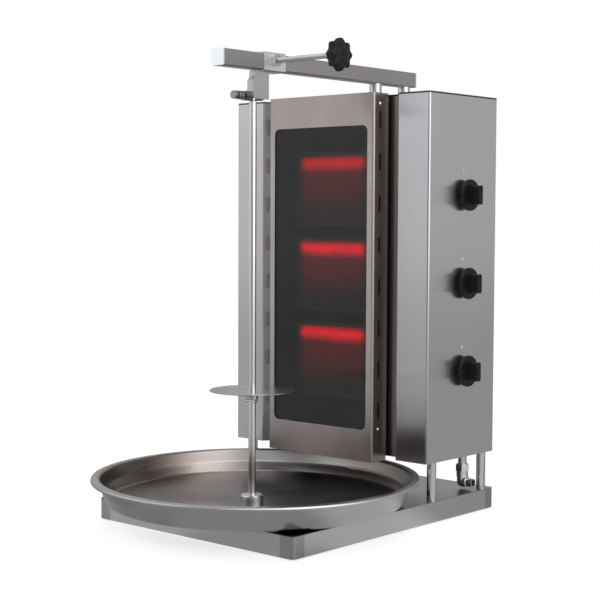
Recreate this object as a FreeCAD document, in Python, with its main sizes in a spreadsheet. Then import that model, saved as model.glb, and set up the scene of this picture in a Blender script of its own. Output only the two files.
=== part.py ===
import FreeCAD, Part
import math
import os
import re

import Sketcher
from FreeCAD import Placement, Rotation, Vector

# Gas grill for an upright kebab spit, in millimetres. The frame for all places below has x to the right,
# y to the back and z up, with its origin at the middle of the base tray's underside. Seating each piece
# moves it to the model's frame, whose origin is the middle of the overall box at the level of the feet.

# Driving dimensions
sizes = {
    # base tray, feet and posts
    "base_width": 490,
    "base_depth": 594,
    "base_height": 39,
    "base_wall": 1.5,
    "base_corner": 8,
    "base_lip": 36,
    "foot_radius": 11,
    "foot_height": 3,
    "foot_inset": 24,
    "post_radius": 9,
    "post_height": 72.4,
    "post_side_inset": 13.6,
    "post_front_inset": 35.3,
    "post_back_inset": 22.7,
    "bolt_radius": 4,
    "bolt_clearance": 0.3,
    "bolt_head_across": 13,
    "bolt_head_height": 5.3,
    # cabinet sheets
    "cabinet_width": 487.2,
    "cabinet_depth": 221.8,
    "cabinet_height": 690,
    "sheet_wall": 1.5,
    "cover_bend": 4.5,
    "wing_width": 72.1,
    "return_width": 21.5,
    "return_depth": 29.8,
    "strip_gap": 1,
    "back_lip": 18.6,
    "back_panel_inset": 3.6,
    "roof_flange": 15,
    "vent_length": 46,
    "vent_width": 6,
    "vent_pitch": 24,
    "vent_count": 7,
    "vent_inset": 140,
    "screw_radius": 2,
    "screw_head_radius": 3.8,
    "screw_head_height": 2.2,
    "screw_length": 6,
    "screw_clearance": 0.2,
    "screw_inset": 6,
    # roof channel, front strut, rear mast and beam
    "channel_width": 40,
    "channel_height": 24,
    "channel_length": 400,
    "tube_wall": 2,
    "strut_radius": 12.5,
    "strut_height": 36.6,
    "strut_setback": 147.3,
    "mast_stand_off": 19.7,
    "mast_length": 688,
    "clamp_width": 52,
    "clamp_height": 22,
    "clamp_rim": 6,
    "clamp_low": 70,
    "clamp_high": 610,
    "clamp_clearance": 0.1,
    "beam_size": 30,
    "beam_length": 570,
    "beam_corner": 2.5,
    "beam_overhang": 23.3,
    "cap_thickness": 3,
    "cap_plug": 12,
    "cap_clearance": 0.2,
    # radiant frame, glass and clips
    "frame_width": 265,
    "frame_height": 698,
    "frame_depth": 44,
    "frame_drop": 6.4,
    "frame_proud": 24.2,
    "frame_corner": 5,
    "window_side": 15,
    "window_height": 577,
    "window_corner": 12,
    "slot_length": 32,
    "slot_width": 5.5,
    "slot_pitch": 78.6,
    "slot_count": 8,
    "slot_setback": 19.5,
    "slot_lift": 23.5,
    "frame_screw_setback": 19.5,
    "frame_screw_inset": 62,
    "glass_thickness": 4,
    "glass_lap": 9,
    "clip_width": 20,
    "clip_thickness": 1.5,
    "clip_foot": 22,
    "clip_reach": 10,
    "clip_inset": 32.5,
    "clip_clearance": 0.3,
    "stud_radius": 2,
    "stud_length": 8,
    "stud_nut_across": 7,
    "stud_nut_height": 3.2,
    # burners
    "box_setback": 15,
    "box_depth": 134,
    "box_gap": 0.2,
    "box_roof_gap": 2,
    "burner_rise": 12,
    "housing_margin": 35.5,
    "housing_height": 146,
    "housing_depth": 46,
    "housing_setback": 26,
    "housing_wall": 3,
    "plaque_rim": 8,
    "plaque_height": 130,
    "plaque_thickness": 12,
    "plaque_clearance": 0.5,
    "plaque_ledge": 6,
    "strap_height": 40,
    "strap_thickness": 2,
    "strap_clearance": 0.3,
    "mixer_radius": 14,
    "mixer_wall": 1.5,
    "mixer_reach": 37,
    "probe_rise": 40,
    "mixer_setback": 55,
    "mixer_clearance": 0.4,
    "injector_gap": 3,
    "injector_length": 14,
    "injector_across": 12,
    "injector_bore": 1.5,
    "probe_radius": 2.5,
    "probe_clearance": 0.3,
    "probe_outside": 10,
    "probe_inside": 24,
    "probe_setback": 59,
    "probe_reach": 37,
    "probe_bend": 8,
    # gas supply
    "knob_setback": 114.8,
    "knob_first": 166.7,
    "knob_pitch": 167,
    "pipe_radius": 8.5,
    "pipe_bore": 6.5,
    "pipe_inset": 38.6,
    "pipe_bend": 25,
    "pipe_above": 88,
    "pipe_straight": 71,
    "pipe_drop": 44.4,
    "pipe_shift": 57,
    "pipe_clearance": 0.3,
    "union_across": 24,
    "union_hex_height": 13,
    "union_body_height": 11.5,
    "union_body_radius": 11.5,
    "union_depth": 20,
    "elbow_radius": 10.5,
    "inlet_radius": 8.33,
    "inlet_thread_length": 14,
    "inlet_reach": 26,
    # valves and knobs
    "valve_radius": 15,
    "valve_length": 22.5,
    "valve_neck_radius": 11,
    "valve_neck_length": 6.1,
    "valve_saddle_radius": 11.5,
    "valve_saddle_length": 5.5,
    "outlet_radius": 7,
    "outlet_reach": 20,
    "outlet_depth": 17,
    "tube_radius": 3,
    "tube_bore": 2,
    "tube_bend": 20,
    "plug_radius": 8,
    "plug_length": 19,
    "plug_clearance": 0.05,
    "plug_end_clearance": 0.3,
    "plug_depth": 4.6,
    "stem_radius": 4,
    "stem_clearance": 0.05,
    "stem_inside": 10,
    "stem_in_knob": 22,
    "panel_hole_radius": 6,
    "knob_travel": 4,
    "knob_radius": 29.75,
    "knob_gap": 9.5,
    "knob_skirt": 6,
    "knob_skirt_wall": 2.5,
    "knob_skirt_edge": 2.5,
    "knob_hub_radius": 9,
    "knob_press": 0.02,
    "grip_length": 36,
    "grip_width": 13,
    "grip_height": 21,
    "grip_corner": 4,
    "dimple_radius": 5,
    "dimple_depth": 0.8,
    "dimple_along": 13.5,
    "dimple_across": 12.5,
    "marker_width": 1.6,
    "marker_depth": 0.6,
    "marker_length": 14,
    # spit, disc and lower bearing
    "spit_distance": 188.5,
    "spit_radius": 7,
    "spit_top": 766,
    "journal_radius": 5,
    "journal_length": 30,
    "tip_length": 11,
    "tip_radius": 1,
    "stop_pin_height": 185,
    "stop_pin_radius": 3,
    "stop_pin_length": 26,
    "stop_pin_clearance": 0.05,
    "disc_radius": 79,
    "disc_thickness": 2,
    "disc_edge": 0.6,
    "disc_boss_radius": 11,
    "disc_boss_height": 16,
    "disc_clearance": 0.1,
    "hub_radius": 21,
    "hub_height": 14,
    "hub_floor": 3,
    "hub_chamfer": 2,
    "hub_clearance": 0.3,
    "stud_guide_radius": 8,
    "stud_guide_clearance": 0.3,
    "stud_thread_radius": 6,
    "slot_clearance": 0.5,
    "carriage_out": 60,
    "carriage_in": 10,
    "guide_length": 70,
    "guide_width": 60,
    "guide_thickness": 3,
    "slide_gap": 0.3,
    # drip pan
    "pan_radius": 305,
    "pan_height": 51.1,
    "pan_wall": 1.5,
    "pan_offset": 10.9,
    "pan_flange": 15,
    "pan_lip": 5,
    "pan_lip_bend": 2.5,
    "pan_floor_radius": 72,
    "pan_ridge_inset": 54,
    "pan_ridge_height": 11.5,
    "pan_gutter_inset": 44,
    "pan_gutter_width": 14,
    "pan_gutter_height": 3.5,
    "pan_waist_inset": 20,
    "pan_waist_height": 26,
    # sleeve and its clamping screw
    "sleeve_length": 57.8,
    "sleeve_setback": 40.6,
    "sleeve_wall": 2.5,
    "sleeve_gap": 0.3,
    "sleeve_corner": 3,
    "clamp_nut_across": 19,
    "clamp_nut_length": 10,
    "clamp_rise": 3,
    "spindle_radius": 5,
    "thread_clearance": 0.05,
    "clamp_tip_radius": 4,
    "clamp_tip_length": 6,
    "clamp_tip_gap": 0.2,
    "spindle_length": 146,
    "star_radius": 30.5,
    "star_thickness": 20,
    "star_edge": 6,
    "star_scallop_radius": 8,
    "star_scallop_depth": 5,
    "star_lobes": 8,
    "star_boss_radius": 10,
    "star_boss_length": 12,
    "star_start": 151,
    "press_gap": 0.02,
    # spit holder and its lock screw
    "holder_wall": 2,
    "holder_gap": 0.3,
    "holder_length": 42.8,
    "holder_height": 50.2,
    "holder_neck_height": 9.5,
    "holder_neck_depth": 5,
    "block_height": 33,
    "block_drop": 3,
    "block_start": 3,
    "block_length": 19,
    "block_clearance": 0.1,
    "lock_rise": 4,
    "lock_nut_across": 17,
    "lock_nut_length": 17,
    "lock_radius": 4,
    "lock_tip_radius": 3.2,
    "lock_tip_length": 4,
    "lock_tip_gap": 0.2,
    "lock_collar_radius": 8,
    "lock_collar_gap": 5,
    "lock_collar_length": 11.5,
    "lock_neck_length": 4.5,
    "lock_head_radius": 7.5,
    "lock_head_length": 7,
    "lock_edge": 0.8,
}

# Places worked out from the sizes, as expressions on the sheet
cabinet_side = "(cabinet_width / 2)"
cabinet_back = "(base_depth / 2)"
cabinet_front = f"({cabinet_back} - cabinet_depth)"
floor_under = "(base_height + post_height)"
floor_top = f"({floor_under} + sheet_wall)"
roof_top = f"({floor_under} + cabinet_height)"
roof_under = f"({roof_top} - sheet_wall)"
strip_front = f"({cabinet_front} + return_depth)"
panel_inner = f"({cabinet_side} - sheet_wall)"
post_side = f"({cabinet_side} - post_side_inset)"
post_front = f"({cabinet_front} + post_front_inset)"
post_back = f"({cabinet_back} - post_back_inset)"
frame_front = f"({cabinet_front} - frame_proud)"
frame_back = f"({frame_front} + frame_depth)"
frame_bottom = f"({floor_under} - frame_drop)"
frame_top = f"({frame_bottom} + frame_height)"
window_middle = f"({frame_bottom} + frame_height / 2)"
window_width = "(frame_width - 2 * window_side)"
glass_front = f"({frame_front} + sheet_wall)"
glass_back = f"({glass_front} + glass_thickness)"
clip_x = f"({window_width} / 2 - clip_inset)"
box_width = "(frame_width - 2 * sheet_wall - 2 * box_gap)"
box_front = f"({frame_front} + box_setback)"
box_top = f"({roof_under} - box_roof_gap)"
housing_width = "(frame_width - 2 * housing_margin)"
plaque_width = f"({housing_width} - 2 * plaque_rim)"
housing_front = f"({box_front} + housing_setback)"
housing_back = f"({housing_front} + housing_depth)"
mixer_y = f"({box_front} + mixer_setback)"
knob_y = f"({cabinet_front} + knob_setback)"
pipe_x = f"({cabinet_side} - pipe_inset)"
inlet_y = f"({knob_y} + pipe_shift)"
union_top = f"({floor_under} - pipe_drop + union_depth)"
union_bottom = f"({union_top} - union_hex_height - union_body_height)"
inlet_z = f"({union_bottom} - elbow_radius)"
outlet_x = f"({panel_inner} - outlet_depth)"
injector_back = f"({housing_width} / 2 + mixer_reach + injector_gap + injector_length)"
strut_y = f"({cabinet_front} + strut_setback)"
mast_y = f"({cabinet_back} + mast_stand_off)"
beam_under = f"({roof_top} + strut_height)"
beam_middle = f"({beam_under} + beam_size / 2)"
beam_back = f"({mast_y} + beam_overhang)"
spit_y = f"({frame_front} - spit_distance)"
pan_y = f"({spit_y} + pan_offset)"
pan_floor = "(base_height + slide_gap + pan_wall)"
sleeve_inner = "(beam_size + 2 * sleeve_gap)"
sleeve_outer = f"({sleeve_inner} + 2 * sleeve_wall)"
sleeve_y = f"({spit_y} + sleeve_setback)"
sleeve_under = f"({beam_under} - sleeve_gap - sleeve_wall)"
holder_bottom = f"({sleeve_under} - holder_height)"
holder_inner = "(journal_radius + holder_gap)"
holder_outer = f"({holder_inner} + holder_wall)"
lock_z = f"({holder_bottom} + lock_rise)"
lock_y = f"({spit_y} - journal_radius - lock_tip_gap)"
tip_x = "(beam_size / 2 + clamp_tip_gap)"
spit_foot = f"({pan_floor} + hub_clearance + hub_floor)"
clamp_z = f"({beam_middle} + clamp_rise)"
origin_y = f"(({pan_y} - pan_radius + {beam_back}) / -2)"

document = FreeCAD.newDocument("kebab_grill")
sheet = document.addObject("Spreadsheet::Sheet", "sizes")
for row, (word, size) in enumerate(sizes.items(), start=1):
    sheet.set(f"A{row}", word)
    sheet.set(f"B{row}", str(size))
    sheet.setAlias(f"B{row}", word)
document.recompute()

nodes = []
facing = {}


# Expressions

def on_sheet(text):
    return re.sub(r"[a-z]\w*", lambda found: sheet_name(found[0]), str(text))


def sheet_name(word):
    return f"sizes.{word}" if word in sizes else word


def number(text):
    return float(sheet.evalExpression(on_sheet(text)))


def bind(thing, name, text):
    thing.setExpression(name, on_sheet(text))


# Sketches: a view from above has x and y, from the front x and z, from the side y and z

views = {"top": ("XY_Plane", 1), "front": ("XZ_Plane", -1), "side": ("YZ_Plane", 1)}


def new_body(name):
    return document.addObject("PartDesign::Body", name)


def draw(body, view, name, at="0"):
    role, sign = views[view]
    sketch = body.newObject("Sketcher::SketchObject", f"{body.Name}_{name}")
    plane = next(feature for feature in body.Origin.OriginFeatures if feature.Role == role)
    sketch.AttachmentSupport = [(plane, "")]
    sketch.MapMode = "FlatFace"
    if at != "0":
        bind(sketch, "AttachmentOffset.Base.z", f"{sign} * ({at})")
    facing[sketch.Name] = sign
    return sketch


def tie(sketch, kind, geometry, text):
    place = sketch.addConstraint(Sketcher.Constraint(kind, *geometry, number(text)))
    word = f"size{place}"
    sketch.renameConstraint(place, word)
    bind(sketch, f"Constraints.{word}", text)


def hold(sketch, element, point, x, y):
    tie(sketch, "DistanceX", (-1, 1, element, point), x)
    tie(sketch, "DistanceY", (-1, 1, element, point), y)


def relate(sketch, kind, *geometry):
    sketch.addConstraint(Sketcher.Constraint(kind, *geometry))


def arc_between(sketch, centre, radius, start, stop):
    angles = [math.atan2(point.y - centre.y, point.x - centre.x) for point in (start, stop)]
    circle = Part.Circle(centre, Vector(0, 0, 1), radius)
    return sketch.addGeometry(Part.ArcOfCircle(circle, angles[0], angles[1]))


# An outline of straight lines. A corner is x, y and, where it is rounded, its radius.
def outline(sketch, corners, closed=True):
    count = len(corners)
    spots = [Vector(number(corner[0]), number(corner[1]), 0) for corner in corners]
    ends = [corner_ends(spots, index, corner) for index, corner in enumerate(corners)]
    lines = []
    for index in range(count if closed else count - 1):
        line = Part.LineSegment(ends[index][1], ends[(index + 1) % count][0])
        lines.append(sketch.addGeometry(line))
    for index, corner in enumerate(corners):
        if not closed and index == 0:
            hold(sketch, lines[0], 1, *corner)
        elif not closed and index == count - 1:
            hold(sketch, lines[-1], 2, *corner)
        elif len(corner) == 2:
            relate(sketch, "Coincident", lines[index - 1], 2, lines[index], 1)
            hold(sketch, lines[index], 1, *corner)
        else:
            round_corner(sketch, lines[index - 1], lines[index], ends[index], spots[index], corner)
    return lines


# Where the line into a corner stops and the line out of it starts
def corner_ends(spots, index, corner):
    spot = spots[index]
    if len(corner) == 2:
        return spot, spot
    before = (spots[index - 1] - spot).normalize()
    after = (spots[(index + 1) % len(spots)] - spot).normalize()
    reach = number(corner[2]) / math.tan(before.getAngle(after) / 2)
    return spot + before * reach, spot + after * reach


def round_corner(sketch, into, out, ends, spot, corner):
    start, stop = ends
    radius = number(corner[2])
    inward = ((start + stop) / 2 - spot).normalize()
    centre = spot + inward * math.hypot(start.distanceToPoint(spot), radius)
    leftward = (spot - start).cross(stop - spot).z > 0
    arc = arc_between(sketch, centre, radius, *(ends if leftward else reversed(ends)))
    opens, closes = (1, 2) if leftward else (2, 1)
    relate(sketch, "Tangent", into, 2, arc, opens)
    relate(sketch, "Tangent", arc, closes, out, 1)
    tie(sketch, "Radius", (arc,), corner[2])
    mark = sketch.addGeometry(Part.Point(spot), True)
    relate(sketch, "PointOnObject", mark, 1, into)
    relate(sketch, "PointOnObject", mark, 1, out)
    hold(sketch, mark, 1, corner[0], corner[1])


def rectangle(sketch, x, y, width, height, radius=None):
    left, right = f"{x} - ({width}) / 2", f"{x} + ({width}) / 2"
    low, high = f"{y} - ({height}) / 2", f"{y} + ({height}) / 2"
    corners = [(left, low), (right, low), (right, high), (left, high)]
    outline(sketch, corners if radius is None else [(*corner, radius) for corner in corners])


def circle(sketch, x, y, radius):
    spot = Vector(number(x), number(y), 0)
    ring = sketch.addGeometry(Part.Circle(spot, Vector(0, 0, 1), number(radius)))
    tie(sketch, "Radius", (ring,), radius)
    hold(sketch, ring, 3, x, y)


# A slot with round ends, between two end centres that lie along y
def slot(sketch, x, low, high, radius):
    across, bottom, top, size = number(x), number(low), number(high), number(radius)
    under = arc_between(sketch, Vector(across, bottom, 0), size,
                        Vector(across - size, bottom, 0), Vector(across + size, bottom, 0))
    over = arc_between(sketch, Vector(across, top, 0), size,
                       Vector(across + size, top, 0), Vector(across - size, top, 0))
    sides = [Part.LineSegment(Vector(across + step, first, 0), Vector(across + step, last, 0))
             for step, first, last in ((size, bottom, top), (-size, top, bottom))]
    right, left = [sketch.addGeometry(side) for side in sides]
    for first, second in ((under, right), (right, over), (over, left), (left, under)):
        relate(sketch, "Tangent", first, 2, second, 1)
    relate(sketch, "Equal", under, over)
    tie(sketch, "Radius", (under,), radius)
    hold(sketch, under, 3, x, low)
    hold(sketch, over, 3, x, high)


# Features. Going ahead means towards the positive end of the axis that the view looks along.

def push(body, kind, sketch, length, ahead):
    feature = body.newObject(f"PartDesign::{kind}", f"{sketch.Name}_{kind.lower()}")
    feature.Profile = sketch
    bind(feature, "Length", length)
    along_normal = (facing[sketch.Name] > 0) == ahead
    feature.Reversed = along_normal if kind == "Pocket" else not along_normal
    return feature


def pad(body, sketch, length, ahead=True):
    return push(body, "Pad", sketch, length, ahead)


def pocket(body, sketch, length, ahead=True):
    return push(body, "Pocket", sketch, length, ahead)


def pad_both_ways(body, sketch, length):
    feature = push(body, "Pad", sketch, length, True)
    feature.SideType = "Symmetric"
    return feature


def pocket_both_ways(body, sketch, length):
    feature = push(body, "Pocket", sketch, length, True)
    feature.SideType = "Symmetric"
    return feature


def repeat(body, feature, sketch, axis, pitch, count):
    pattern = body.newObject("PartDesign::LinearPattern", f"{feature.Name}_row")
    pattern.Originals = [feature]
    pattern.Direction = (sketch, [axis])
    pattern.Mode = "Spacing"
    bind(pattern, "Offset", pitch)
    bind(pattern, "Occurrences", count)
    body.Tip = pattern


def repeat_round(body, feature, sketch, count):
    pattern = body.newObject("PartDesign::PolarPattern", f"{feature.Name}_ring")
    pattern.Originals = [feature]
    pattern.Axis = (sketch, ["N_Axis"])
    pattern.Angle = 360
    bind(pattern, "Occurrences", count)
    body.Tip = pattern


def revolve(body, sketch):
    feature = body.newObject("PartDesign::Revolution", f"{sketch.Name}_turned")
    feature.Profile = sketch
    feature.ReferenceAxis = (sketch, ["V_Axis"])
    feature.Angle = 360
    return feature


# A turned piece: its corners are radius and height along its own axis
def turned(name, corners):
    body = new_body(name)
    profile = draw(body, "front", "profile")
    outline(profile, corners)
    revolve(body, profile)
    return body


def pin(name, radius, low, high):
    return turned(name, [("0", low), (radius, low), (radius, high), ("0", high)])


# A bent tube that starts at its own origin along x and keeps to its xy plane
def bent_tube(name, corners, radius, bore=None):
    body = new_body(name)
    path = draw(body, "top", "path")
    lines = outline(path, corners, closed=False)
    section = draw(body, "side", "section")
    circle(section, "0", "0", radius)
    if bore is not None:
        circle(section, "0", "0", bore)
    tube = body.newObject("PartDesign::AdditivePipe", f"{name}_tube")
    tube.Profile = section
    tube.Spine = (path, [f"Edge{index + 1}" for index in range(2 * len(lines) - 1)])
    return body


# Plain solids

leaning = {
    "up": Rotation(),
    "right": Rotation(Vector(0, 1, 0), 90),
    "left": Rotation(Vector(0, 1, 0), -90),
    "front": Rotation(Vector(1, 0, 0), 90),
    "back": Rotation(Vector(1, 0, 0), -90),
}


def place_at(thing, spot, toward="up"):
    thing.Placement = Placement(Vector(), leaning[toward])
    for axis, text in zip("xyz", spot):
        bind(thing, f"Placement.Base.{axis}", text)
    return thing


def block(name, low, high):
    solid = document.addObject("Part::Box", name)
    for side, start, stop in zip(("Length", "Width", "Height"), low, high):
        bind(solid, side, f"{stop} - ({start})")
    return place_at(solid, low)


def rod(name, spot, radius, length, toward="up"):
    solid = document.addObject("Part::Cylinder", name)
    bind(solid, "Radius", radius)
    bind(solid, "Height", length)
    return place_at(solid, spot, toward)


def hexagon(name, spot, across, length, toward="up"):
    solid = document.addObject("Part::Prism", name)
    solid.Polygon = 6
    bind(solid, "Circumradius", f"({across}) / sqrt(3)")
    bind(solid, "Height", length)
    return place_at(solid, spot, toward)


def join(name, solids):
    whole = document.addObject("Part::MultiFuse", name)
    whole.Shapes = solids
    return whole


def cut(name, solid, tools):
    result = document.addObject("Part::Cut", name)
    result.Base = solid
    result.Tool = tools[0] if len(tools) == 1 else group(f"{name}_tools", tools)
    return result


def group(name, solids):
    together = document.addObject("Part::Compound", name)
    together.Links = solids
    return together


# Gives a finished piece its name and its place in the model's frame
def seat(thing, label, spot=("0", "0", "0"), toward="up"):
    thing.Label = label
    x, y, z = spot
    place_at(thing, (x, f"{y} + {origin_y}", f"{z} + foot_height"), toward)
    nodes.append(thing)
    return thing


# Base tray, feet and posts

def post_places():
    return [(f"{side} * {post_side}", depth) for side in (-1, 1) for depth in (post_front, post_back)]


def base_tray():
    body = new_body("base_tray")
    shape = draw(body, "top", "outline")
    rectangle(shape, "0", "0", "base_width", "base_depth", "base_corner")
    pad(body, shape, "base_height")
    hollow = draw(body, "top", "hollow", "base_wall")
    rectangle(hollow, "0", "0", "base_width - 2 * base_wall", "base_depth - 2 * base_wall",
              "base_corner - base_wall")
    pocket(body, hollow, "base_height - 2 * base_wall")
    opening = draw(body, "top", "opening")
    rectangle(opening, "0", "0", "base_width - 2 * base_lip", "base_depth - 2 * base_lip")
    pocket(body, opening, "base_wall")
    holes = draw(body, "top", "holes", "base_height - base_wall")
    slot(holes, "0", f"{spit_y} - carriage_out", f"{spit_y} + carriage_in",
         "stud_guide_radius + slot_clearance")
    for x, y in post_places():
        circle(holes, x, y, "bolt_radius + bolt_clearance")
    pocket(body, holes, "base_wall")
    seat(body, "base_tray")


def base_feet():
    feet = []
    for index, (side, end) in enumerate(((-1, -1), (1, -1), (1, 1), (-1, 1))):
        x = f"{side} * (base_width / 2 - foot_inset)"
        y = f"{end} * (base_depth / 2 - foot_inset)"
        feet.append(rod(f"foot_{index}", (x, y, "-foot_height"), "foot_radius", "foot_height"))
    seat(group("base_feet", feet), "base_feet")


def support_posts():
    posts = []
    for index, (x, y) in enumerate(post_places()):
        tube = rod(f"post_{index}", (x, y, "base_height"), "post_radius", "post_height")
        bore = rod(f"post_bore_{index}", (x, y, "base_height"), "bolt_radius + bolt_clearance",
                   "post_height")
        posts.append(cut(f"spacer_{index}", tube, [bore]))
    seat(group("support_posts", posts), "support_posts")


def post_bolts():
    bolts = []
    nut_bottom = "base_height - base_wall - bolt_head_height"
    for index, (x, y) in enumerate(post_places()):
        nut = hexagon(f"bolt_nut_{index}", (x, y, nut_bottom), "bolt_head_across", "bolt_head_height")
        shank = rod(f"bolt_shank_{index}", (x, y, nut_bottom), "bolt_radius",
                    f"{floor_top} - ({nut_bottom})")
        head = hexagon(f"bolt_head_{index}", (x, y, floor_top), "bolt_head_across", "bolt_head_height")
        bolts.append(join(f"bolt_{index}", [nut, shank, head]))
    seat(group("post_bolts", bolts), "post_bolts")


# Cabinet sheets

def cabinet_outline():
    left = [(f"-{cabinet_side}", cabinet_back, "cover_bend"),
            (f"-{cabinet_side}", cabinet_front, "cover_bend"),
            (f"wing_width - {cabinet_side}", cabinet_front, "cover_bend"),
            (f"wing_width + return_width - {cabinet_side}", strip_front)]
    right = [(f"-({x})", y, *bend) for x, y, *bend in reversed(left)]
    return left + right


# A row of slots across the sheet, the first one on the left, all along y
def vent_row(body, name, height, middle, depth):
    first = draw(body, "top", name, height)
    slot(first, "vent_pitch * (1 - vent_count) / 2", f"{middle} - vent_length / 2",
         f"{middle} + vent_length / 2", "vent_width / 2")
    repeat(body, pocket(body, first, depth), first, "H_Axis", "vent_pitch", "vent_count")


def cabinet_floor():
    body = new_body("cabinet_floor")
    shape = draw(body, "top", "outline", floor_under)
    outline(shape, cabinet_outline())
    for x, y in post_places():
        circle(shape, x, y, "bolt_radius + bolt_clearance")
    circle(shape, pipe_x, inlet_y, "pipe_radius + pipe_clearance")
    pad(body, shape, "sheet_wall")
    vent_row(body, "vents", floor_under, f"{box_front} + box_depth / 2", "sheet_wall")
    seat(body, "cabinet_floor")


def top_cover():
    body = new_body("top_cover")
    shape = draw(body, "top", "outline", roof_under)
    outline(shape, cabinet_outline())
    pad(body, shape, "sheet_wall")
    for name, side in (("left", -1), ("right", 1)):
        flange = draw(body, "top", f"{name}_flange", roof_under)
        middle = f"{side} * ({panel_inner} - bolt_clearance - sheet_wall / 2)"
        rectangle(flange, middle, f"{cabinet_back} - cabinet_depth / 2", "sheet_wall", "cabinet_depth / 2")
        pad(body, flange, "roof_flange", ahead=False)
    vent_row(body, "vents", roof_under, f"{box_front} + box_depth / 2", "sheet_wall")
    seat(body, "top_cover")


# The side sheet is one bent strip: back lip, side, front wing, slanted return and inner strip
def side_blank(name):
    path = document.addObject("Sketcher::SketchObject", f"{name}_path")
    outline(path, [
        (f"{cabinet_side} - back_lip", cabinet_back),
        (cabinet_side, cabinet_back, "cover_bend"),
        (cabinet_side, cabinet_front, "cover_bend"),
        (f"{cabinet_side} - wing_width", cabinet_front, "cover_bend"),
        (f"{cabinet_side} - wing_width - return_width", strip_front),
        (f"{box_width} / 2 + strip_gap", strip_front),
    ], closed=False)
    band = document.addObject("Part::Offset2D", f"{name}_band")
    band.Source = path
    band.Mode = "Skin"
    band.Join = "Intersection"
    band.Fill = True
    bind(band, "Value", "sheet_wall")
    blank = document.addObject("Part::Extrusion", f"{name}_blank")
    blank.Base = band
    blank.DirMode = "Custom"
    blank.Dir = Vector(0, 0, 1)
    blank.Solid = True
    bind(blank, "LengthFwd", f"{roof_under} - {floor_top}")
    bind(blank, "Placement.Base.z", floor_top)
    return blank


def knob_height(index):
    return f"({floor_under} + knob_first + {index} * knob_pitch)"


def screw_heights():
    inset = "(back_panel_inset + 2 * screw_inset)"
    return [f"{floor_top} + {inset}", f"({floor_top} + {roof_under}) / 2", f"{roof_under} - {inset}"]


def back_screw_holes(name, side):
    x = f"{side} * ({cabinet_side} - back_lip / 2)"
    return [rod(f"{name}_{index}", (x, f"{cabinet_back} - 2 * sheet_wall", z),
                "screw_radius + screw_clearance", "4 * sheet_wall", "back")
            for index, z in enumerate(screw_heights())]


def side_covers():
    stems = [rod(f"stem_hole_{index}", (f"{panel_inner} - sheet_wall", knob_y, knob_height(index)),
                 "panel_hole_radius", "3 * sheet_wall", "right") for index in range(3)]
    right = cut("right_cover", side_blank("right"), stems + back_screw_holes("right_screw_hole", 1))
    mirror = document.addObject("Part::Mirroring", "left_blank")
    mirror.Source = side_blank("left_source")
    mirror.Normal = Vector(1, 0, 0)
    left = cut("left_cover", mirror, back_screw_holes("left_screw_hole", -1))
    seat(right, "right_cover")
    seat(left, "left_cover")


def back_panel():
    body = new_body("back_panel")
    shape = draw(body, "front", "outline", cabinet_back)
    width = "cabinet_width - 2 * back_panel_inset"
    middle = f"({floor_top} + {roof_under}) / 2"
    rectangle(shape, "0", middle, width, f"{roof_under} - {floor_top} - 2 * back_panel_inset")
    for side in (-1, 1):
        for z in screw_heights():
            circle(shape, f"{side} * ({cabinet_side} - back_lip / 2)", z, "screw_radius + screw_clearance")
    pad(body, shape, "sheet_wall")
    vents = {"low_vents": f"{floor_top} + vent_inset", "high_vents": f"{roof_under} - vent_inset"}
    for name, centre in vents.items():
        first = draw(body, "front", name, cabinet_back)
        slot(first, "vent_pitch * (1 - vent_count) / 2", f"{centre} - vent_length / 2",
             f"{centre} + vent_length / 2", "vent_width / 2")
        repeat(body, pocket(body, first, "sheet_wall"), first, "H_Axis", "vent_pitch", "vent_count")
    seat(body, "back_panel")


def screw(name, spot, toward):
    body = turned(name, [("0", "-screw_length"), ("screw_radius", "-screw_length"), ("screw_radius", "0"),
                         ("screw_head_radius", "0"), ("screw_head_radius", "screw_head_height / 2"),
                         ("screw_head_radius / 2", "screw_head_height"), ("0", "screw_head_height")])
    return place_at(body, spot, toward)


def frame_screw_heights():
    return [f"{frame_bottom} + frame_screw_inset", f"{frame_top} - frame_screw_inset / 3"]


def cover_screws():
    screws = []
    for side in (-1, 1):
        x = f"{side} * ({cabinet_side} - back_lip / 2)"
        for index, z in enumerate(screw_heights()):
            spot = (x, f"{cabinet_back} + sheet_wall", z)
            screws.append(screw(f"back_screw_{side + 1}_{index}", spot, "back"))
        x = f"{side} * frame_width / 2"
        toward = "right" if side > 0 else "left"
        for index, z in enumerate(frame_screw_heights()):
            spot = (x, f"{frame_front} + frame_screw_setback", z)
            screws.append(screw(f"frame_screw_{side + 1}_{index}", spot, toward))
    seat(group("cover_screws", screws), "cover_screws")


# Roof channel, strut, mast and beam

def roof_channel():
    body = new_body("roof_channel")
    shape = draw(body, "side", "section", "-channel_length / 2")
    left, right = f"{strut_y} - channel_width / 2", f"{strut_y} + channel_width / 2"
    top, bottom = roof_under, f"{roof_under} - channel_height"
    outline(shape, [
        (left, top), (left, bottom), (f"{left} + tube_wall", bottom),
        (f"{left} + tube_wall", f"{top} - tube_wall"), (f"{right} - tube_wall", f"{top} - tube_wall"),
        (f"{right} - tube_wall", bottom), (right, bottom), (right, top),
    ])
    pad(body, shape, "channel_length")
    seat(body, "roof_channel")


def round_post(name, y, bottom, top):
    body = new_body(name)
    section = draw(body, "top", "section", bottom)
    circle(section, "0", y, "strut_radius")
    circle(section, "0", y, "strut_radius - tube_wall")
    pad(body, section, f"{top} - ({bottom})")
    seat(body, name)


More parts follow.
